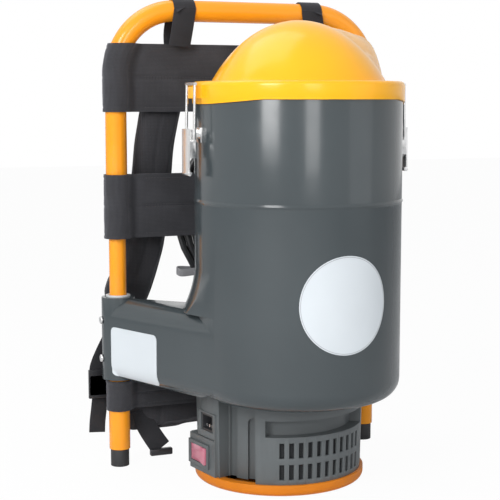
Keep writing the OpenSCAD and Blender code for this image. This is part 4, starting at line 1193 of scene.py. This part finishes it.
class VACUUM_OT_webbing(Operator):
    """Make the loops over the bar, the adjusting webbing, the tails and the hip belt"""

    bl_idname = "vacuum.webbing"
    bl_label = "Webbing"

    def execute(self, context):
        pad_x, pad_back, _ = PAD_LINE[-1]
        lock_x, lock_back = 178.5, 29.1
        bar_z, wrap = BAR_Z / MM, 13.7
        for side, word in ((-1, "left"), (1, "right")):
            over = [(82, wrap * math.cos(math.radians(a)), bar_z + wrap * math.sin(math.radians(a)))
                    for a in range(0, 181, 15)]
            path = [(88, 6.6, 478), (87, 9.6, 496), (86, 13.6, 516), *over, (86, -13.6, 516),
                    (88, -10.2, 499)]
            loop = ribbon("top_loop_" + word, at_frame(path, side), 27 * MM, 5)
            finish_piece(loop, "carry_frame", "webbing")

            path = [(pad_x, pad_back, 185.9), (pad_x, pad_back, 180), (160.2, 32.6, 151.5),
                    (lock_x, lock_back, 117), (lock_x, lock_back, 101)]
            strap = ribbon("adjusting_webbing_" + word, at_frame(path, side), 25 * MM)
            set_look(strap, "webbing")
            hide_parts("pad_webbing_" + word)
            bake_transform(strap)

            path = [(lock_x, 28.9, 84), (lock_x + 0.8, 30.2, 74), (lock_x + 2, 30.9, 62),
                    (lock_x + 4, 30, 48), (lock_x + 5, 28.9, 35)]
            tail = ribbon("strap_tail_" + word, at_frame(path, side), 20 * MM, 6, 0.5 * MM)
            finish_piece(tail, "housing", "webbing")

            path = [(132.5, 11.6, 62), (127.5, 10.2, 44), (117.5, 8.7, 26), (108.5, 8.7, 12.9)]
            belt = ribbon("hip_belt_" + word, at_frame(path, side), 25 * MM)
            finish_piece(belt, "housing", "webbing")
            if side < 0:
                first = (loop, tail, belt)
            else:
                for piece, node in zip(first, ("top_loops", "strap_tails", "belt_webbing")):
                    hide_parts(node)
        dressed_copy("ladder_locks", "ladder_lock_frames", 1.0 * MM, "black", 30, 3)
        dressed_copy("belt_buckle", "buckle_halves", 1.5 * MM, "black", 30, 3)
        return {"FINISHED"}


# ---------------------------------------------------------------- add-on

STEPS = (
    VACUUM_OT_camera, VACUUM_OT_stage, VACUUM_OT_lead, VACUUM_OT_canister, VACUUM_OT_lid,
    VACUUM_OT_motor_case, VACUUM_OT_switch, VACUUM_OT_latches, VACUUM_OT_tubes, VACUUM_OT_inside,
    VACUUM_OT_labels, VACUUM_OT_bands, VACUUM_OT_shoulder_pads, VACUUM_OT_hip_pad, VACUUM_OT_webbing,
)


class VACUUM_PT_panel(Panel):
    """Lists the sizes, colours and steps"""

    bl_idname = "VACUUM_PT_panel"
    bl_label = "Backpack vacuum cleaner"
    bl_space_type = "VIEW_3D"
    bl_region_type = "UI"
    bl_category = "Vacuum"

    def draw(self, context):
        column = self.layout.column()
        for name in VacuumSettings.__annotations__:
            column.prop(context.scene.vacuum, name)
        for step in STEPS:
            column.operator(step.bl_idname)


def register():
    bpy.utils.register_class(VacuumSettings)
    for step in STEPS:
        bpy.utils.register_class(step)
    bpy.utils.register_class(VACUUM_PT_panel)
    bpy.types.Scene.vacuum = PointerProperty(type=VacuumSettings)


def unregister():
    del bpy.types.Scene.vacuum
    bpy.utils.unregister_class(VACUUM_PT_panel)
    for step in reversed(STEPS):
        bpy.utils.unregister_class(step)
    bpy.utils.unregister_class(VacuumSettings)


def main():
    register()
    for step in STEPS:
        getattr(bpy.ops.vacuum, step.bl_idname.split(".")[1])()


if __name__ == "__main__":
    main()
